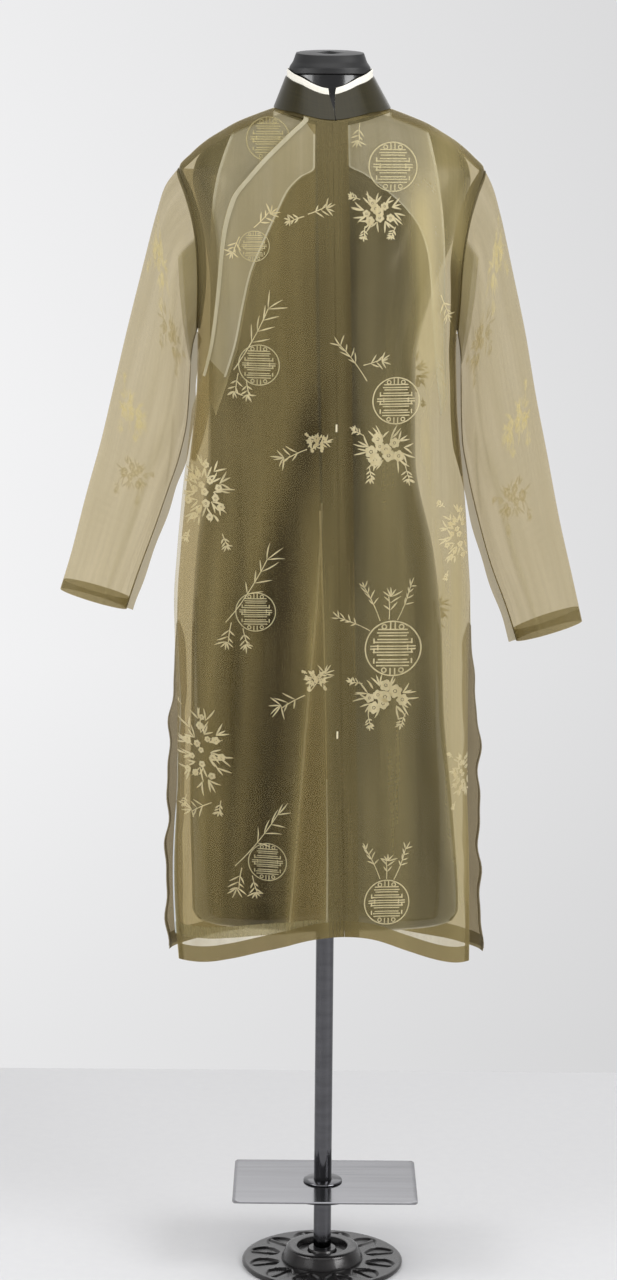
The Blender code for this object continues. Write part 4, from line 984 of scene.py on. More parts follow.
@dataclass(frozen=True)
class ShoulderLining:
    """Sheer ivory lining between an inner and an outer curve, under a front."""

    side: Side
    inner_x: Table
    inner_z: Table
    outer_x: Table
    outer_z: Table
    gap: float = 0.0035
    top_gap: float = 0.0015
    edge: float = 0.0040

    def grid(self) -> tuple[Array, Array, Array]:
        """x, z and distance under the front, straight between the two curves."""
        down, across = np.linspace(0, 1, 101) ** 1.15, np.linspace(0, 1, 31)
        inner_x, inner_z, outer_x, outer_z = (along(table, down)[:, None] for table in (
            self.inner_x, self.inner_z, self.outer_x, self.outer_z))
        x, z = inner_x + across * (outer_x - inner_x), inner_z + across * (outer_z - inner_z)
        z = z + (BODY.top(x[0], Sheet.FRONT) - 0.0030 - z[0]) * ((1 - down) ** 3)[:, None]
        gap = self.top_gap + (self.gap - self.top_gap) * smoothstep(0.0, 0.30, down)
        return self.side.value * x, z, -WALL - gap[:, None]

    def build(self) -> None:
        """The lining with its two narrow rolled edges."""
        key = self.side.name.lower()
        x, z, offset = self.grid()
        panel = Panel("shoulder_lining_" + key, x, z, Sheet.FRONT, offset)
        for edge in ("inner", "outer"):
            panel.edge_band(f"lining_{edge}_edge_{key}", 0.0, self.edge, slice(None), edge == "outer", -0.0004,
                            IVORY_EDGE)
        if self.side is Side.RIGHT:
            self.closing_facing(panel)
        panel.build(IVORY_SHEER, "yoke_lining_" + key)

    def closing_facing(self, panel: Panel) -> None:
        """Lining turned back over the inner front, from the curve to the closing line."""
        start = panel.x[:, :1]
        reach = (Fronts().closing_edge(panel.z) - start) / (panel.x - start - 1e-9)
        reach = np.clip(np.clip(reach, 0, 1).min(axis=1, keepdims=True), 0.02, 1)
        rows = slice(4, 92)
        x, z = (start + np.minimum(panel.x - start, 0) * reach)[rows], panel.z[rows]
        panel.layer("closing_facing_right", x, z, 0.0016, IVORY_SHEER)
        panel.layer("closing_facing_edge_right", x[:, :1] - np.linspace(0, 0.0026, 4), z[:, :1], 0.0020, IVORY_EDGE)


SHOULDER_LININGS = (
    ShoulderLining(Side.RIGHT, mm(22.5, 22.5, 41, 56, 73, 89, 105, 114, 123, 138, 156),
                   mm(1602, 1545, 1531, 1515, 1480, 1444, 1405, 1365, 1318, 1266, 1215),
                   mm(132, 146, 154, 160, 163, 164, 164, 164, 164, 165, 167),
                   mm(1600, 1560, 1532, 1502, 1470, 1436, 1402, 1368, 1330, 1290, 1240)),
    ShoulderLining(Side.LEFT, mm(20, 20, 43, 72, 100, 118, 129, 134, 138, 143, 152),
                   mm(1602, 1552, 1537, 1516, 1490, 1464, 1425, 1370, 1318, 1268, 1215),
                   mm(128, 138, 144, 149, 152, 154, 155, 156, 157, 158, 160),
                   mm(1602, 1555, 1522, 1492, 1462, 1432, 1400, 1368, 1330, 1290, 1240)))


# ---------------- sleeves
@dataclass(frozen=True)
class SleeveCrease:
    """A soft ridge or trough down a sleeve, from one (share, turn) to another.

    share runs from the armhole (0) to the wrist (1) and turn from the outer line (0)
    forwards to the inner line (0.5) and round behind (1).
    """

    top: tuple[float, float]
    foot: tuple[float, float]
    width: float
    rise: float
    double: float = 0.0

    def bell(self, share: Array, turn: Array) -> Array:
        """Its bell across the line, faded at both ends."""
        s = (share - self.top[0]) / (self.foot[0] - self.top[0])
        middle = self.top[1] + (self.foot[1] - self.top[1]) * s
        fade = smoothstep(-0.05, 0.15, s) * (1 - smoothstep(0.85, 1.08, s))
        return fade * np.exp(-(((turn - middle) / self.width) ** 2))


SLEEVE_CREASES = tuple(SleeveCrease(*row) for row in (
    ((0.03, 0.20), (0.34, 0.30), 0.018, 0.0022, 0.15), ((0.18, 0.34), (0.62, 0.335), 0.012, -0.0022, 0.45),
    ((0.50, 0.325), (1.0, 0.30), 0.010, 0.0018, 0.40), ((0.46, 0.36), (0.66, 0.43), 0.010, -0.0016, 0.40),
    ((0.22, 0.46), (0.50, 0.40), 0.014, 0.0020, 0.20), ((0.06, 0.10), (0.45, 0.14), 0.016, -0.0014),
    ((0.55, 0.12), (0.98, 0.16), 0.016, 0.0012), ((0.04, 0.84), (0.40, 0.74), 0.018, 0.0022),
    ((0.20, 0.64), (0.68, 0.66), 0.012, -0.0020, 0.25), ((0.58, 0.70), (1.0, 0.72), 0.011, 0.0016, 0.20),
    ((0.26, 0.56), (0.54, 0.61), 0.014, 0.0018), ((0.62, 0.86), (0.98, 0.88), 0.016, -0.0012)))


@dataclass(frozen=True)
class Sleeve:
    """A tube from armhole to wrist: ovals between an outer and an inner line."""

    side: Side
    outer_x: Table
    outer_z: Table
    inner_x: Table
    inner_z: Table
    depth: Table = mm(50, 55, 60, 64, 64, 60, 53, 45, 34, 27)
    centre_y: Table = mm(0, 0, -1, -3, -6, -9, -12, -16, -22, -26)
    length: float = 0.60
    girth: float = 0.40  # of the cloth, for its grain
    cuff: float = 0.021
    fringe_width: float = 0.0092
    rings: int = 181
    around: int = 120

    def armhole(self, angle: Array) -> Array:
        """The armhole on the body surface, from the shoulder tip forwards."""
        z = ARMHOLE_MIDDLE + ARMHOLE_HALF * np.cos(angle)
        front = np.sin(angle) > 0
        y = BODY.set_back(z) - np.where(front, BODY.armhole_front, BODY.armhole_back) * np.sin(angle)
        x = np.where(front, BODY.armhole(z, self.side, Sheet.FRONT), BODY.armhole(z, self.side, Sheet.BACK))
        return stack(x + self.side.value * 2 * GAP, y, z)

    def lines(self, share: Array) -> tuple[Array, Array]:
        """The tube's middle line, and the step from there to the outer line."""
        outer_x, outer_z, inner_x, inner_z = (along(table, share) for table in (
            self.outer_x, self.outer_z, self.inner_x, self.inner_z))
        return (stack(self.side.value * (outer_x + inner_x) / 2, along(self.centre_y, share), (outer_z + inner_z) / 2),
                stack(self.side.value * (outer_x - inner_x) / 2, 0.0, (outer_z - inner_z) / 2))

    def tube(self, share: Array, angle: Array) -> Array:
        """The smooth tube: its ovals settle into the armhole's own line near it."""
        def ovals(s: Array) -> Array:
            middle, out = self.lines(s)
            return middle + out * np.cos(angle)[..., None] - stack(0.0, along(self.depth, s) * np.sin(angle), 0.0)

        settle = (1 - smoothstep(0.0, 0.22, share))[..., None]
        return ovals(share) + settle * (self.armhole(angle) - ovals(0 * share))

    def points(self, share: Array, turn: Array, offset: float = 0.0) -> tuple[Array, Array]:
        """The sleeve at (share, turn), moved out along its normal, and the normals."""
        angle = 2 * math.pi * turn
        step = 0.002 * math.pi
        down = self.tube(np.minimum(share + 0.002, 1.0), angle) - self.tube(np.maximum(share - 0.002, 0.0), angle)
        around = self.tube(share, angle + step) - self.tube(share, angle - step)
        normal = self.side.value * unit(np.cross(around, down))
        rise = sum(c.rise * c.bell(share, turn % 1.0) for c in SLEEVE_CREASES) * smoothstep(0.0, 0.05, share)
        return self.tube(share, angle) + (offset + rise)[..., None] * normal, normal

    def double(self, share: Array, turn: Array) -> Array:
        """Where the cloth lies double: in its sharper creases and behind the underarm."""
        total = sum(c.double * c.bell(share, turn % 1.0) for c in SLEEVE_CREASES)
        start = 0.215 + 2.1 * np.maximum(share - 0.13, 0.0)
        reach = smoothstep(0.0, 0.012, turn - start) * smoothstep(0.0, 0.012, 1 - turn - start)
        return np.clip(total + 0.9 * reach * smoothstep(0.0, 0.02, share), 0, 1)

    def build(self) -> None:
        """The sleeve with cuff hem, underarm seam and armhole seam, and its cut."""
        key = self.side.name.lower()
        share, turn = mesh_grid(np.linspace(0, 1, self.rings), np.arange(self.around) / self.around)
        points, normal = self.points(share, turn)
        uv = stack(np.minimum(turn, 1 - turn) * self.girth, -share * self.length)
        sleeve = piece("sleeve_cloth_" + key, points, normal, uv, ORGANZA_SLEEVE, "sleeve_" + key, around=True,
                       marks={"double": self.double(share, turn)})
        # The armhole seam, its allowance and the underarm seam line take the armhole finish, which is partly painted
        # shade.
        parts = [self.band("cuff_hem_" + key, 1 - self.cuff / self.length, 0.9995, ORGANZA_DOUBLE, "cuff_band_" + key),
                 self.band("armhole_seam_" + key, 0.002, 0.017, ARMHOLE_LAYERS_AND_SHADE),
                 self.seam_ring("armhole_allowance_" + key), self.fringe("underarm_french_seam_" + key),
                 self.strip("underarm_seam_line_" + key, 0.0024, 0.0, 1, ARMHOLE_LAYERS_AND_SHADE)]
        for where, way in (("front_", 1), ("back_", -1)):
            parts += [self.strip("underarm_seam_" + where + key, 0.0085, 0.0, way, ORGANZA_DOUBLE),
                      self.strip("underarm_stitching_" + where + key, 0.0018, 0.0085, way, SEAM)]
        width = float(np.linalg.norm(np.roll(points, -1, axis=1) - points, axis=-1).sum(axis=1).max())
        area = min(grid_area(np.concatenate([points, points[:, :1]], axis=1)), width * self.length)

    def band(self, name: str, start: float, end: float, finish: Finish, *nodes: str) -> Obj:
        """A ring of cloth on the inside of the sleeve."""
        share, turn = mesh_grid(np.linspace(start, end, 8), np.arange(self.around) / self.around)
        points, normal = self.points(share, turn, -0.0006)
        return piece(name, points, normal, stack(turn * self.girth, -share * self.length), finish, *nodes, around=True)

    def seam_ring(self, name: str) -> Obj:
        """The armhole seam's allowance, inside body and sleeve, which closes the line between them."""
        out, turn = mesh_grid(np.linspace(-0.0040, 0.0014, 5), np.arange(self.around) / self.around)
        points = self.armhole(2 * math.pi * turn)
        away = unit((points - points.mean(axis=1, keepdims=True)) * np.array([0, 1, 1]))
        points = points - 0.0014 * away + stack(self.side.value * out, 0.0, 0.0)
        return piece(name, points, away, stack(turn * 0.45, out), ARMHOLE_LAYERS_AND_SHADE, around=True)

    def fringe(self, name: str) -> Obj:
        """The sewn seam's free edge, which stands off the sleeve's inner line towards the body."""
        share, out = mesh_grid(np.linspace(0.015, 0.997, 160), np.linspace(0.0, 1.0, 5))
        wide = self.fringe_width * smoothstep(0.0, 0.06, share) * (1 + 0.10 * np.sin(38 * share + self.side.value))
        step = np.array([-0.94 * self.side.value, -0.10, -0.30])
        points = self.tube(share, np.full(share.shape, math.pi)) + (wide * out)[..., None] * step
        points[..., 1] += 0.0015 * out * np.sin(55 * share + 1.0)
        return piece(name, points, np.array([0, -1, 0]), stack(wide * out, -share * self.length), FRINGE)

    def strip(self, name: str, width: float, start: float, way: int, finish: Finish) -> Obj:
        """A strip down the sleeve, beside its inner line, forwards (1) or backwards (-1)."""
        share, run = mesh_grid(np.linspace(0.0, 0.998, 140), np.linspace(start, start + width, 5))
        half = (along(self.outer_x, share) - along(self.inner_x, share)) / 2
        around = 2 * math.pi * np.sqrt((along(self.depth, share) ** 2 + half**2) / 2)
        surface, _ = self.points(share, 0.5 - way * run / around)
        full, _ = self.points(*mesh_grid(share[:, 0], np.arange(60) / 60))
        away = unit(surface - full.mean(axis=1, keepdims=True))
        return piece(name, surface - 0.0007 * away, away, stack(run, -share * self.length), finish)

    def place(self, run: Array, fall: Array) -> tuple[Array, Array]:
        """A place just outside the sleeve from lengths round and down it, and the way out."""
        share = -fall / self.length
        points, _ = self.points(share, run / self.girth)
        away = unit(points - self.lines(share)[0])
        return points + FLOAT_GAP * away, away


SLEEVES = (
    Sleeve(Side.RIGHT, mm(205, 224, 236, 255, 275, 294, 310, 331, 352, 366),
           mm(1541, 1515, 1478, 1404, 1324, 1243, 1175, 1099, 1017, 971),
           mm(179.5, 185.5, 188.5, 190, 193, 203, 218, 237, 259, 275),
           mm(1324, 1303, 1282, 1243, 1200, 1152, 1107, 1052, 992, 944)),
    Sleeve(Side.LEFT, mm(205, 217, 228, 246, 264, 280, 296, 315, 333, 348),
           mm(1541, 1517, 1481, 1404, 1324, 1238, 1162, 1070, 995, 932),
           mm(171.5, 175.5, 177.5, 178, 180, 189, 203, 221, 241, 258),
           mm(1324, 1303, 1282, 1235, 1180, 1128, 1070, 1008, 955, 904)))


# ---------------- collar
@dataclass(frozen=True)
class Collar:
    """Dark satin stand collar over an ivory one that shows above it."""

    wall: float = 0.0013
    front: float = 0.033
    side: float = 0.041
    back: float = 0.046
    length: float = 0.44
    top_scale: float = 0.745
    stands_out: float = 0.0022
    lining_shows: float = 0.010
    notch_x: float = 0.004
    notch_half: float = 0.0048
    notch_start: float = 0.36

    def points(self, inset: Array, up: Array, turn: Array) -> Array:
        """The collar at (up, turn): the neck's oval, shrinking with its height up to 1.

        turn runs from one side of the notch round the neck to the other.
        """
        open_share = np.clip((up - self.notch_start) / (1 - self.notch_start), 0, None)
        half_gap = (0.0004 + self.notch_half * open_share) / NECK_HALF_WIDTH
        angle = self.notch_x / NECK_HALF_WIDTH + half_gap + turn * (2 * math.pi - 2 * half_gap)
        leant = np.minimum(up, 1.0)
        scale = 1 + (self.top_scale - 1) * leant
        out = self.stands_out - inset
        x = NECK_LEAN * leant + (NECK_HALF_WIDTH * scale + out) * np.sin(angle)
        y = NECK_CENTRE_Y + 0.005 * leant - (NECK_HALF_DEPTH * scale + out) * np.cos(angle)
        plan = NECK_HALF_WIDTH * np.abs(np.sin(angle))
        front = np.cos(angle) > 0
        base = np.where(front, BODY.neckline(plan, Sheet.FRONT), BODY.neckline(plan, Sheet.BACK))
        base = base + 0.0008 + 0.0038 * np.where(front, 1 - smoothstep(0.045, 0.070, plan), 0.0)
        middle = np.where(front, self.front, self.back)
        return stack(x, y, base + up * (middle + (self.side - middle) * np.sin(angle) ** 2))

    def away(self, grid: Array) -> Array:
        """Level directions out from the neck's middle line."""
        return (grid - np.array([0.0, NECK_CENTRE_Y, 0.0])) * LEVEL

    def shell(self, name: str, inset: float, wall: float, low: float, high: float, finish: Finish,
              node: str) -> Obj:
        """A closed collar: its profile goes up outside, over a rounded top and down inside."""
        t = np.linspace(0, 1, 44)
        rise = np.interp(t, [0.0, 0.44, 0.5, 0.56, 1.0], [low, high - 0.02, high, high - 0.02, low])
        turn, up = mesh_grid(np.linspace(0, 1, 241), rise)
        grid = self.points(inset + wall * smoothstep(0.44, 0.56, t), up, turn)
        away = self.away(grid) * np.where(t < 0.5, 1.0, -1.0)[:, None]
        uv = stack(turn * self.length, up * 0.04)
        first, last = ((ring + ring[:, ::-1]) / 2 for ring in (grid[:1], grid[-1:]))
        return piece(name, np.concatenate([first, grid, last]), np.concatenate([away[:1], away, away[-1:]]),
                     np.concatenate([uv[:1], uv, uv[-1:]]), finish, node, around=True, closed=True)

    def build(self) -> None:
        """Both collars and the neck seam's allowance."""
        high = 1 + self.lining_shows / self.side
        outer = self.shell("collar_band_satin", 0.0, self.wall, 0.0, 1.0, SATIN, "collar_stand")
        inner = self.shell("collar_band_ivory", self.wall + GAP, WALL, 0.15, high, IVORY, "collar_lining")
        up, turn = mesh_grid(np.linspace(-0.13, 0.15, 6), np.linspace(0.002, 0.998, 121))
        grid = self.points(0.0016, up, turn)
        piece("neck_seam_allowance", grid, self.away(grid), stack(turn * self.length, up * 0.04), SEAM)


# ---------------- dress form and stand
@dataclass(frozen=True)
class DressForm:
    """Smooth lacquered form and its neck cap."""

    height: Table = mm(500, 506, 520, 650, 800, 920, 1020, 1150, 1280, 1380, 1450, 1500,
                       1530, 1548, 1572.1, 1585.5, 1598.1, 1607.7, 1615.8, 1626, 1645, 1664)
    half_width: Table = mm(168, 180, 186, 183, 175, 172, 163, 142, 140, 150, 168,
                           182, 187, 183, 166, 144, 117, 89, 65, 57, 52, 52)
    centre_x: Table = mm(0, 0, 0, -6, -13, -15, -18, -24, -24, -12, -3) + (0.0,) * 11
    half_depth: Table = mm(60, 72, 78, 87, 95, 100, 97, 93, 101, 101, 97, 92, 88, 83, 76, 70, 64, 58, 53, 49, 47, 47)
    centre_y: Table = mm(4, 4, 4, 4, 4, 4, 2, -2, -8, -8, -3, 0, 1, 2, 4, 6, 8, 9, 10, 10, 10, 10)
    cap_height: Table = mm(1664.3, 1667, 1674, 1683, 1690, 1694)
    cap_radius: Table = mm(52, 54.5, 54.5, 49.5, 47, 45.5)
    cap_slant: float = 7.0

    def body(self, z: Array, turn: Array) -> Array:
        """Ovals of exponent 2.25, rounder at the neck, with the tables' sizes at each height."""
        power = 2 / (2.25 - 0.25 * smoothstep(1.59, 1.625, z))
        across, along_y = (np.sign(wave) * np.abs(wave) ** power for wave in (
            np.cos(2 * math.pi * turn), np.sin(2 * math.pi * turn)))
        middle_x, middle_y, half_x, half_y = (smooth(self.height, table, z) for table in (
            self.centre_x, self.centre_y, self.half_width, self.half_depth))
        lean = NECK_LEAN * smoothstep(1.612, 1.664, z)
        return stack(lean + middle_x + half_x * across, middle_y + half_y * along_y, z)

    def build(self) -> None:
        """The form and the cap."""
        heights = np.concatenate([np.linspace(0.500, 0.520, 12), np.linspace(0.53, 1.52, 100),
                                  np.linspace(1.525, 1.664, 60)])
        self.closed("dress_form_shell", self.body(*mesh_grid(heights, np.arange(128) / 128)), LACQUER, "form_body")
        rise, turn = mesh_grid(np.append(np.linspace(0, 1, 41), [1.0, 1.0]), np.arange(96) / 96)
        z, radius = along(self.cap_height, rise), along(self.cap_radius, rise)
        radius[-2], radius[-1] = radius[-3] - 0.0012, 0.0200
        angle = 2 * math.pi * turn
        back = 0.88 * radius * np.sin(angle)
        low, high = self.cap_height[0], self.cap_height[-1]
        slant = math.tan(math.radians(self.cap_slant)) * np.clip((z - low) / (high - low), 0, 1)
        z[-2:] += 0.0003
        self.closed("neck_cap_dome", stack(NECK_LEAN + radius * np.cos(angle), 0.010 + back, z + slant * back),
                    LACQUER_WORN, "neck_cap")

    def closed(self, name: str, grid: Array, finish: Finish, node: str) -> None:
        """A tube of points closed at both ends by a ring that narrows to a point."""
        first, last = (np.where(LEVEL, ring.mean(axis=1, keepdims=True), ring) for ring in (grid[:1], grid[-1:]))
        whole = np.concatenate([first, grid, last])
        piece(name, whole, (whole - whole.mean(axis=1, keepdims=True)) * LEVEL,
              stack(whole[..., 0] + whole[..., 1], whole[..., 2]), finish, node, around=True, closed=True)


def turned(name: str, profile: list[tuple[float, float]], finish: Finish, node: str, segments: int = 128,
           relief: Optional[Callable[[Array, Array], Array]] = None) -> None:
    """A closed piece turned about the pole's axis.

    Args:
        name: the piece's name.
        profile: (radius, height) points in millimetres up the outside, back to the start.
        finish: what it is made of.
        node: the node it stands for.
        segments: steps round the axis.
        relief: adds to the height from radius and angle.
    """
    rows = np.array(profile + profile[:1]) / 1000
    radius, turn = mesh_grid(rows[:, 0], 2 * math.pi * np.arange(segments) / segments)
    height = rows[:, 1:] + 0 * turn
    if relief is not None:
        height = height + relief(radius, turn) * (height > 0.003)
    step = np.diff(rows, axis=0)
    lead = np.concatenate([step, step[-1:]])
    away = stack(lead[:, 1:] * np.cos(turn), lead[:, 1:] * np.sin(turn), -lead[:, :1])
    piece(name, stack(radius * np.cos(turn), radius * np.sin(turn), height), away, stack(radius * turn, height),
          finish, node, around=True, closed=True)


@dataclass(frozen=True)
class Stand:
    """Chromed pole and washer, mirror shelf plate over a dish, and a cast base with a hub, in millimetres."""

    pole: float = 12.5
    hole: float = 12.8
    plate_half: tuple[float, float] = (129.5, 89.0)
    plate_x: float = 3.0
    plate_top: float = 120.0
    plate_thick: float = 3.0
    dish: float = 77.0
    dish_deep: float = 18.0
    base: float = 114.0
    hub: float = 58.0
    leaf: tuple[float, float] = (0.062, 0.106)

    def relief(self, radius: Array, turn: Array) -> Array:
        """Twelve leaf-shaped hollows round the base, each with a midrib."""
        petal = np.abs((turn * 12 / (2 * math.pi)) % 1.0 - 0.5) * 2
        along_leaf = np.clip((radius - self.leaf[0]) / (self.leaf[1] - self.leaf[0]), 0, 1)
        half = 0.80 * np.sin(math.pi * along_leaf) ** 0.7
        inside = 1 - smoothstep(0.0, 0.16, petal - half + 0.10)
        rib = 1 - smoothstep(0.05, 0.14, petal)
        zone = smoothstep(0.061, 0.066, radius) * (1 - smoothstep(0.104, 0.108, radius))
        return -0.0030 * zone * inside * (1 - 0.7 * rib)

    def build(self) -> None:
        """All its pieces."""
        pole, hole, base = self.pole, self.hole, self.base
        turned("pole_tube", [(0, 20.5), (pole - 0.4, 20.5), (pole, 20.9), (pole, 499.3), (pole - 0.4, 499.7),
                             (0, 499.7)], CHROME_PAINTED_DARK, "pole")
        foot = self.plate_top + 1000 * GAP
        turned("pole_collar_washer", [(hole, foot), (26.2, foot), (27.1, foot + 0.3), (27.5, foot + 1.2),
                                      (27.1, foot + 2.2), (26.2, foot + 2.7), (hole, foot + 2.7)],
               CHROME_PAINTED_DARK, "pole_washer")
        under = self.plate_top - self.plate_thick - 1000 * GAP
        low = under - self.dish_deep
        turned("plate_pressed_dish", [(hole, low), (38, low), (40, low + 0.3), (52, low + 3.5), (66, low + 8.5),
                                      (72, low + 13), (self.dish, under), (hole, under)], CHROME_PAINTED_DARK, "plate_dish")
        self.shelf()
        rings = [(float(radius), 6) for radius in np.linspace(base - 4, self.hub, 46)]
        turned("base_cast_disc", [(0, 0), (base - 2, 0), (base - 0.6, 0.6), (base, 2), (base, 4), (base - 1.2, 5.4)]
               + rings + [(0, 6)], IRON, "base_disc", 288, self.relief)
        turned("base_hub_turned", [(0, 6.3), (self.hub, 6.3), (57.8, 8), (57, 10), (52.5, 19), (51.5, 21), (50.7, 23.2),
                                   (48.5, 24.5), (37.5, 24.5), (36.2, 24), (34, 16.5), (21, 16.5), (19.5, 21),
                                   (19, 21.5), (hole, 21.5), (hole, 20.2), (0, 20.2)], IRON, "base_hub", 160)

    def shelf(self) -> None:
        """The plate: a rectangle with small rounded corners and a round hole."""
        half = np.array(self.plate_half)
        angle = 2 * math.pi * (np.arange(160) + 0.5) / 160
        way = stack(np.cos(angle), np.sin(angle))
        rim = way * ((np.abs(way / half) ** 60).sum(axis=1) ** (-1 / 60))[:, None]
        hole, lip = way * self.hole, way * (self.hole + 0.8)
        inner, near, edge = (rim * (1 - inset / half.min()) + np.array([self.plate_x, 0]) for inset in (4, 0.5, 0))
        top, low = self.plate_top, self.plate_top - self.plate_thick
        # each ring's place, height, and which way its faces look: level and up
        rings = ((hole, top, 0, 1), (lip, top, 0, 1), (inner, top, 0, 1), (near, top, 0, 1), (edge, top - 0.5, 1, 0),
                 (edge, low + 0.5, 1, 0), (near, low, 0, -1), (inner, low, 0, -1), (lip, low, 0, -1),
                 (hole, low, -1, 0), (hole, top, -1, 0))
        grid = np.stack([stack(ring[:, 0], ring[:, 1], height) for ring, height, _, _ in rings]) / 1000
        away = np.stack([stack(way[:, 0] * out, way[:, 1] * out, up) for _, _, out, up in rings])
        piece("shelf_plate_mirror", grid, away, grid[..., :2], STEEL_SHEET, "plate", around=True, closed=True)


# ---------------- woven figures
class Figure(Enum):
    """Kinds of woven figure."""

    MEDALLION = "medallion"
    BAMBOO = "bamboo"
    CLUSTER = "cluster"
    SPRIG = "sprig"


@dataclass
class Drawing:
    """Flat shapes of the woven figures, each a grid of (x, z) in metres."""

    grids: list[Array] = field(default_factory=list)

    def turned(self, local: Array, x: float, z: float, turn: float) -> None:
        """Turns a shape by an angle, in radians, and puts it at (x, z)."""
        c, s = math.cos(turn), math.sin(turn)
        self.grids.append(local @ np.array([[c, s], [-s, c]]) + np.array([x, z]))

    def ring(self, x: float, z: float, radius: float, width: float) -> None:
        """A ring: radius from outside to inside."""
        r, t = mesh_grid(np.array([radius, radius - width]), 2 * math.pi * np.linspace(0.0, 1.0, 73))
        self.turned(stack(r * np.cos(t), r * np.sin(t)), x, z, 0.0)

    def bar(self, x: float, z: float, width: float, height: float) -> None:
        """A straight bar centred at (x, z), cut fine enough to follow the cloth."""
        a, b = mesh_grid(np.array([-0.5, 0.5]) * height, np.linspace(-0.5, 0.5, max(3, int(width / 0.003))) * width)
        self.turned(stack(b, a), x, z, 0.0)

    def leaf(self, x: float, z: float, length: float, width: float, turn: float, bend: float = 0.15) -> None:
        """A pointed leaf: half width is sin(pi s) to the 0.8, round a bent centre line."""
        s, t = mesh_grid(np.linspace(0, 1, 9), np.array([-0.5, 0.0, 0.5]))
        half = width * np.sin(math.pi * np.clip(s, 0.02, 0.98)) ** 0.8
        self.turned(stack(s * length, t * half + bend * length * s * s), x, z, turn)

    def stem(self, x: float, z: float, length: float, turn: float, bend: float, width: float = 0.0012) -> None:
        """A thin bent stem."""
        s, t = mesh_grid(np.linspace(0, 1, 12), np.array([-0.5, 0.5]))
        self.turned(stack(s * length, t * width + bend * length * s * s), x, z, turn)

    def blossom(self, x: float, z: float, radius: float, turn: float, petals: int) -> None:
        """Notched petals about a heart, with thin gaps between them."""
        s, t = mesh_grid(np.linspace(0, 1, 6), np.linspace(-1, 1, 7))
        half = 0.56 * radius * np.sin(math.pi * (0.14 + 0.74 * s)) * (5.2 / petals) ** 0.5
        reach = radius * (0.26 + 0.74 * s) * (1 - 0.10 * t * t * s + 0.07 * np.cos(3 * math.pi * t) * s)
        for k in range(petals):
            self.turned(stack(reach, t * half), x, z, turn + 2 * math.pi * k / petals)
        self.ring(x, z, 0.18 * radius, 0.14 * radius)

    def medallion(self, x: float, z: float, radius: float) -> None:
        """A round lattice: a ring round paired bars that short posts join and frame."""
        self.ring(x, z, radius, 0.050 * radius)
        for k, level in enumerate((-0.62, -0.50, -0.40, -0.24, -0.14, -0.02, 0.08, 0.22, 0.32, 0.46, 0.56, 0.68)):
            wide = math.sqrt(0.89**2 - level**2) * (1.80, 1.60, 1.30, 1.30, 1.60, 1.80)[k % 6]
            self.bar(x, z + level * radius, wide * radius, 0.050 * radius)
        for way in (-1, 1):
            for level in (-0.45, -0.08, 0.27):
                self.bar(x + way * 0.66 * radius, z + level * radius, 0.055 * radius, 0.18 * radius)
            self.bar(x + way * 0.52 * radius, z + 0.03 * radius, 0.045 * radius, 0.20 * radius)
            for post in (-1, 1):
                self.bar(x + post * 0.08 * radius, z + way * 0.82 * radius, 0.050 * radius, 0.24 * radius)
                self.ring(x + post * 0.30 * radius, z + way * 0.78 * radius, 0.10 * radius, 0.045 * radius)

    def bamboo(self, x: float, z: float, size: float, turn: float, seed: int, joints: int = 4) -> None:
        """A bent stem with thin pointed leaves in twos and threes at its joints."""
        draw = np.random.default_rng(seed)
        c, w = math.cos(turn), math.sin(turn)
        self.stem(x, z, size, turn, 0.12)
        for k in range(joints):
            s = 0.48 + 0.52 * k / (joints - 1)
            a, b = s * size, 0.12 * size * s * s
            for way in (-0.75, 0.55, 0.0)[:3 if k == joints - 1 else 2]:
                self.leaf(x + c * a - w * b, z + w * a + c * b, size * draw.uniform(0.16, 0.28), 0.0018,
                          turn + way + draw.uniform(-0.25, 0.25), draw.uniform(-0.2, 0.2))

    def cluster(self, x: float, z: float, size: float, seed: int, tall: float) -> None:
        """Blossoms packed together, with leaves between them and sprays that hang."""
        draw = np.random.default_rng(seed)
        count, fans, scale = (8, 11, 1.0) if tall < 1 else (14, 22, 0.70)
        for k in range(count):
            way = 2.4 * k + draw.uniform(-0.3, 0.3)
            far = size * 0.31 * math.sqrt(k / (count - 1))
            self.blossom(x + far * math.cos(way), z + tall * far * math.sin(way),
                         size * draw.uniform(0.070, 0.105) * scale, draw.uniform(0, 6), 5 + k % 2)
        for k in range(fans):
            way = 2 * math.pi * k / 11 + draw.uniform(-0.25, 0.25)
            far = 0.27 * size * (1.0 if k < 11 else 0.55)
            for turn in (-0.55, 0.0, 0.45)[:2 + k % 2]:
                self.leaf(x + far * math.cos(way), z + tall * far * math.sin(way), size * draw.uniform(0.14, 0.25),
                          0.0024, way + turn + draw.uniform(-0.3, 0.3), draw.uniform(-0.25, 0.25))
        for k in range(2):
            self.sprig(x + (0.30 - 0.55 * k) * size, z - tall * 0.42 * size, size * draw.uniform(0.26, 0.36),
                       -1.6 + draw.uniform(-0.5, 0.5), seed + 1 + k)
        self.sprig(x - 0.34 * size, z + tall * 0.35 * size, size * 0.26, 2.5 + draw.uniform(-0.4, 0.4), seed + 5)

    def sprig(self, x: float, z: float, size: float, turn: float, seed: int) -> None:
        """A small forked stem with leaves along it and a fan of them at its end."""
        draw = np.random.default_rng(seed)
        self.stem(x, z, 0.62 * size, turn, 0.1)
        for s, fan in ((0.25, (-0.8, 0.8)), (0.45, (-0.9, 0.7)), (0.62, (-1.1, -0.5, 0.1, 0.6, 1.2))):
            for way in fan:
                self.leaf(x + s * size * math.cos(turn), z + s * size * math.sin(turn),
                          size * draw.uniform(0.22, 0.36), 0.0020, turn + way + draw.uniform(-0.15, 0.15),
                          draw.uniform(-0.2, 0.2))


@dataclass(frozen=True)
class Place:
    """Where one figure is woven: its kind, and its middle and size in metres.

    turn is an angle in radians, and for a cluster its height over its width.
    """

    kind: Figure
    x: float
    z: float
    size: float
    turn: float = 0.0


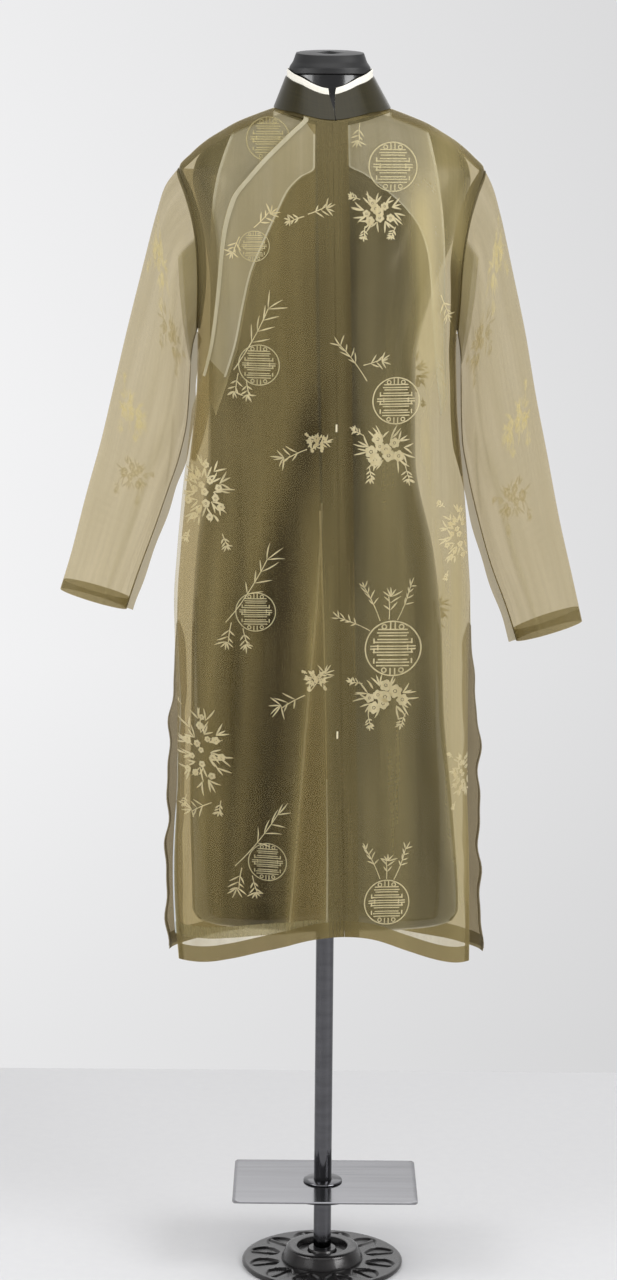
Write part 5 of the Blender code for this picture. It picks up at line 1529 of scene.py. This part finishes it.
def woven(*rows: tuple) -> tuple[Place, ...]:
    """Places from rows of kind, x, height and size in millimetres, and turn."""
    return tuple(Place(kind, *mm(x, z, size), *turn) for kind, x, z, size, *turn in rows)


MEDALLION, BAMBOO, CLUSTER, SPRIG = Figure
FRONT_LEFT_FAINT_FIGURES = woven((MEDALLION, 80, 1545, 32.5), (SPRIG, 36, 1599, 36, -1.7))
FRONT_LEFT_FIGURES = woven(
    (CLUSTER, 62, 1486, 74), (MEDALLION, 87, 1239.4, 31.5), (CLUSTER, 74.5, 1175, 88), (BAMBOO, 48, 1266, 58, 2.1),
    (SPRIG, 43, 1287, 40, 0.2), (MEDALLION, 87.2, 906.3, 38), (BAMBOO, 70, 944, 50, 1.9), (BAMBOO, 93, 945, 48, 1.1),
    (BAMBOO, 56, 931, 45, 2.6), (SPRIG, 82, 946, 50, 1.5), (CLUSTER, 78, 840, 92), (MEDALLION, 83.4, 555.3, 31.5),
    (BAMBOO, 74, 588, 46, 1.9), (BAMBOO, 93, 587, 44, 1.1), (SPRIG, 83, 588, 40, 1.5), (CLUSTER, 176, 1055, 62, 1.8),
    (SPRIG, 144.1, 1377.8, 45, -1.2), (CLUSTER, 186, 722.5, 50, 1.6))
FRONT_RIGHT_FIGURES = woven(
    (MEDALLION, -100, 1440, 20), (SPRIG, -101, 1464, 44, 0.7), (SPRIG, -119, 1452, 34, -2.0),
    (MEDALLION, -93, 1285.7, 27), (BAMBOO, -126, 1278, 92, 0.95), (SPRIG, -120, 1274, 40, -1.8),
    (SPRIG, -109, 1266, 32, -1.5), (MEDALLION, -96.7, 955.3, 26.5), (BAMBOO, -135, 940, 100, 0.90),
    (SPRIG, -128, 940, 44, -1.8), (SPRIG, -113, 933, 36, -1.4), (MEDALLION, -78.7, 612.8, 26.2),
    (BAMBOO, -122, 605, 92, 0.80), (SPRIG, -113, 603, 46, -1.8), (SPRIG, -99, 593, 38, -1.4),
    (CLUSTER, -164, 1112.3, 80, 1.6), (CLUSTER, -166, 760.7, 84, 1.9), (SPRIG, -152, 690, 50, 3.6),
    (SPRIG, -30, 1175, 52, 3.5), (SPRIG, -26, 1174, 36, 0.5), (SPRIG, -30, 845, 58, 3.6), (SPRIG, -22, 852, 46, 0.9),
    (CLUSTER, -16, 868, 34), (CLUSTER, -17, 1186, 30), (SPRIG, -31.2, 1481.9, 40, 0.3), (SPRIG, -36, 1479, 30, 3.4))
INNER_RIGHT_FIGURES = woven((MEDALLION, -85, 1580, 29))
BACK_FIGURES = woven(
    (MEDALLION, 85, 1440, 32), (CLUSTER, 74, 1375, 78), (BAMBOO, 70, 1472, 48, 1.9), (MEDALLION, 80, 1110, 34),
    (CLUSTER, 72, 1044, 86), (BAMBOO, 72, 1146, 48, 1.8), (MEDALLION, 85, 770, 35), (CLUSTER, 76, 704, 90),
    (BAMBOO, 96, 806, 46, 1.1), (CLUSTER, 140, 930, 64, 1.5), (SPRIG, 33, 920, 50, 0.6), (SPRIG, 33, 1260, 50, 2.6),
    (CLUSTER, 112, 1260, 56, 1.4), (CLUSTER, 145, 580, 62, 1.4))


@dataclass(frozen=True)
class WovenFigures:
    """Draws the figures and lays them on a panel, just outside its cloth."""

    flat: float = 0.6  # a cluster's height over its width, where none is stated
    reach: float = 0.985  # the share of the half width that they keep inside, clear of the side seams
    tacks: tuple = ((0.0085, 1.2038), (0.0135, 0.7899))
    tack: tuple[float, float] = (0.0022, 0.0100)
    on_sleeves: tuple = ((0.062, 0.150, 0.075), (0.075, 0.330, 0.070), (0.290, 0.200, 0.075), (0.300, 0.420, 0.065))

    def draw(self, places: tuple[Place, ...], mirror: int, kinds: tuple[Figure, ...]) -> Drawing:
        """The figures of one panel that are of the stated kinds."""
        drawing = Drawing()
        for number, place in enumerate(places):
            at = (mirror * place.x, place.z, place.size)
            turn = place.turn if mirror > 0 else math.pi - place.turn
            if place.kind not in kinds:
                continue
            if place.kind is MEDALLION:
                drawing.medallion(*at)
            elif place.kind is BAMBOO:
                drawing.bamboo(*at, turn, 10 + number)
            elif place.kind is CLUSTER:
                drawing.cluster(*at, 40 + number, place.turn or self.flat)
            else:
                drawing.sprig(*at, turn, 80 + number)
        return drawing

    def lay(self, name: str, drawing: Drawing, surface: Callable[[Array, Array], tuple[Array, Array]],
            finish: Finish) -> None:
        """One piece from all shapes of a drawing, mapped through the cloth's surface."""
        points, quads, uv, count = [], [], [], 0
        for grid in drawing.grids:
            placed, normal = surface(grid[..., 0], grid[..., 1])
            placed, grid = facing(placed, normal, placed, grid)
            points.append(placed.reshape(-1, 3))
            uv.append(grid.reshape(-1, 2))
            quads.append(grid_quads(*grid.shape[:2], False, count))
            count += len(points[-1])
        dress(build_mesh(name, np.concatenate(points), np.concatenate(quads), np.concatenate(uv), finish), finish)

    def on_body(self, x: Array, z: Array, sheet: Sheet, lift: Array) -> tuple[Array, Array]:
        """A place on the body, held just inside its widest line so that none passes a side seam."""
        middle, reach = BODY.middle(z), self.reach * BODY.half_width(z, sheet)
        return BODY.points(np.clip(x, middle - reach, middle + reach), z, sheet, lift)

    def build(self) -> None:
        """The figures of every panel and sleeve, and two thread tacks on the centre front."""
        others = (BAMBOO, CLUSTER, SPRIG)
        for name, places, sheet, hangs, finish, mirror, kinds in (
                ("figures_outer_left", FRONT_LEFT_FIGURES, Sheet.FRONT, 1, GOLD, 1, tuple(Figure)),
                ("figures_outer_left_faint", FRONT_LEFT_FAINT_FIGURES, Sheet.FRONT, 1, GOLD_SOFT, 1, tuple(Figure)),
                ("figures_outer_right", FRONT_RIGHT_FIGURES, Sheet.FRONT, 1, GOLD, 1, others),
                ("medallions_outer_right", FRONT_RIGHT_FIGURES, Sheet.FRONT, 1, GOLD_SOFT, 1, (MEDALLION,)),
                ("figures_inner_right", INNER_RIGHT_FIGURES, Sheet.FRONT, 0, GOLD_FAINT, 1, tuple(Figure)),
                ("figures_back_left", BACK_FIGURES, Sheet.BACK, 0, GOLD, 1, tuple(Figure)),
                ("figures_back_right", BACK_FIGURES, Sheet.BACK, 0, GOLD, -1, tuple(Figure))):
            self.lay(name, self.draw(places, mirror, kinds),
                     lambda x, z, s=sheet, h=hangs: self.on_body(x, z, s, h * front_lift(x) + FLOAT_GAP), finish)
        marks = Drawing()
        for x, z in self.tacks:
            marks.bar(x, z, *self.tack)
        self.lay("closing_thread_tacks", marks,
                 lambda x, z: self.on_body(x, z, Sheet.FRONT, front_lift(x) + 2 * FLOAT_GAP), THREAD)
        for sleeve in SLEEVES:
            drawing = Drawing()
            for number, (run, fall, size) in enumerate(self.on_sleeves):
                drawing.cluster(run, -fall, size, 120 + number, self.flat)
            self.lay("figures_sleeve_" + sleeve.side.name.lower(), drawing, sleeve.place, GOLD_FAINT)


# ---------------- studio
@dataclass(frozen=True)
class Studio:
    """Pale floor, light from all round, soft boxes and the camera."""

    camera_at: Table = (-0.0262, -4.16, 1.59)
    pitch: float = 9.44
    roll: float = 0.45
    lens: float = 86.03
    floor_half: float = 3.0
    floor_front: float = -2.8
    floor_back: float = 0.90
    room_glow: float = 0.37
    wall_glow_left: float = 0.93
    wall_glow_right: float = 0.77
    boxes: tuple = (  # name, place, aim, width and power
        ("key_left", (-2.4, -2.6, 2.6), (0.0, 0.0, 1.1), 1.8, 15),
        ("key_right", (2.6, -1.8, 2.4), (0.0, 0.0, 1.1), 1.8, 79),
        ("top", (0.0, -0.6, 3.9), (0.0, 0.1, 1.0), 2.6, 30),
        ("front_high", (0.0, -2.2, 3.6), (0.0, 0.9, 1.0), 3.0, 14),
        ("side_left", (-1.9, -0.5, 1.5), (-0.35, 0.9, 1.1), 0.8, 4.5),
        ("rear", (0.6, 3.2, 2.6), (0.0, 0.0, 1.1), 2.4, 14),
        ("floor_left", (-1.5, -0.8, 1.6), (-0.4, 0.2, 0.0), 0.8, 10))

    def stand_at(self, data: bpy.types.ID, at: Table, order: str, turn: Table) -> Obj:
        """A camera or lamp put at a place and turned."""
        obj = bpy.data.objects.new(data.name, data)
        obj.location, obj.rotation_mode, obj.rotation_euler = at, order, turn
        bpy.context.scene.collection.objects.link(obj)
        return obj

    def camera(self) -> None:
        """A camera that looks a little down, and is turned a little."""
        data = bpy.data.cameras.new("camera")
        data.lens, data.sensor_width, data.sensor_fit = self.lens, 36.0, "AUTO"
        bpy.context.scene.camera = self.stand_at(
            data, self.camera_at, "ZYX", (math.radians(90 - self.pitch), 0.0, math.radians(self.roll)))

    def floor(self) -> None:
        """A pale floor that ends a little behind the stand, where the far wall's glow begins."""
        x, y = mesh_grid(np.linspace(-self.floor_half, self.floor_half, 13),
                         np.linspace(self.floor_front, self.floor_back, 25))
        finish = HardFinish("vinyl_floor_matt_pale_grey", "d7d7d8", "d1d1d3", 0.55)
        sheet_object("studio_floor", stack(x, y, -0.0002), np.array([0, 0, 1]), stack(x, y), finish)

    def room(self) -> None:
        """Light from all round, brighter from the far side, where a pale wall stands well away."""
        world = bpy.data.worlds.new("studio")
        world.use_nodes = True
        tree = world.node_tree
        way = add_node(tree, "TexCoord", output="Generated")
        beyond, across, below, low, high = (
            add_node(tree, "MapRange", {"Value": add_node(tree, "SeparateXYZ", {0: way}, axis), "From Min": start,
                                        "From Max": end, "To Min": first, "To Max": last}, interpolation_type=kind)
            for axis, start, end, first, last, kind in (
                ("Y", -0.15, 0.65, 0.0, 1.0, "SMOOTHSTEP"),
                ("X", -0.10, 0.10, self.wall_glow_left - self.room_glow, self.wall_glow_right - self.room_glow,
                 "LINEAR"),
                ("Z", -0.02, -0.12, 0.0, 1.0, "SMOOTHSTEP"),
                ("Z", -0.29, -0.17, 0.84, 1.0, "LINEAR"),
                ("Z", -0.09, 0.05, 1.0, 0.92, "LINEAR")))
        share = add_node(tree, "Math", {0: beyond, 1: below}, operation="MAXIMUM")
        for factor in (low, high):
            share = add_node(tree, "Math", {0: share, 1: factor}, operation="MULTIPLY")
        glow = add_node(tree, "Math", {0: share, 1: across, 2: self.room_glow}, operation="MULTIPLY_ADD")
        background = tree.nodes["Background"]
        background.inputs["Color"].default_value = hex_colour("fafafb")
        tree.links.new(glow, background.inputs["Strength"])
        bpy.context.scene.world = world

    def build(self) -> None:
        """Room, lights, floor and camera."""
        self.room()
        bpy.context.scene.view_settings.view_transform = "Standard"
        for name, at, aim, size, power in self.boxes:
            data = bpy.data.lights.new(name, "AREA")
            data.energy, data.size = power, size
            x, y, z = np.array(aim) - np.array(at)
            self.stand_at(data, at, "XYZ", (math.atan2(math.hypot(x, y), -z), 0.0, math.atan2(y, x) - math.pi / 2))
        self.floor()
        self.camera()


def main() -> None:
    """Builds the pieces in order and reports each."""
    logging.basicConfig(level=logging.INFO, format="%(message)s")
    for part in (Studio(), Fronts(), Backs(), *SHOULDER_LININGS, *SLEEVES, Collar(), DressForm(), Stand(),
                 WovenFigures()):
        part.build()


if __name__ == "__main__":
    main()
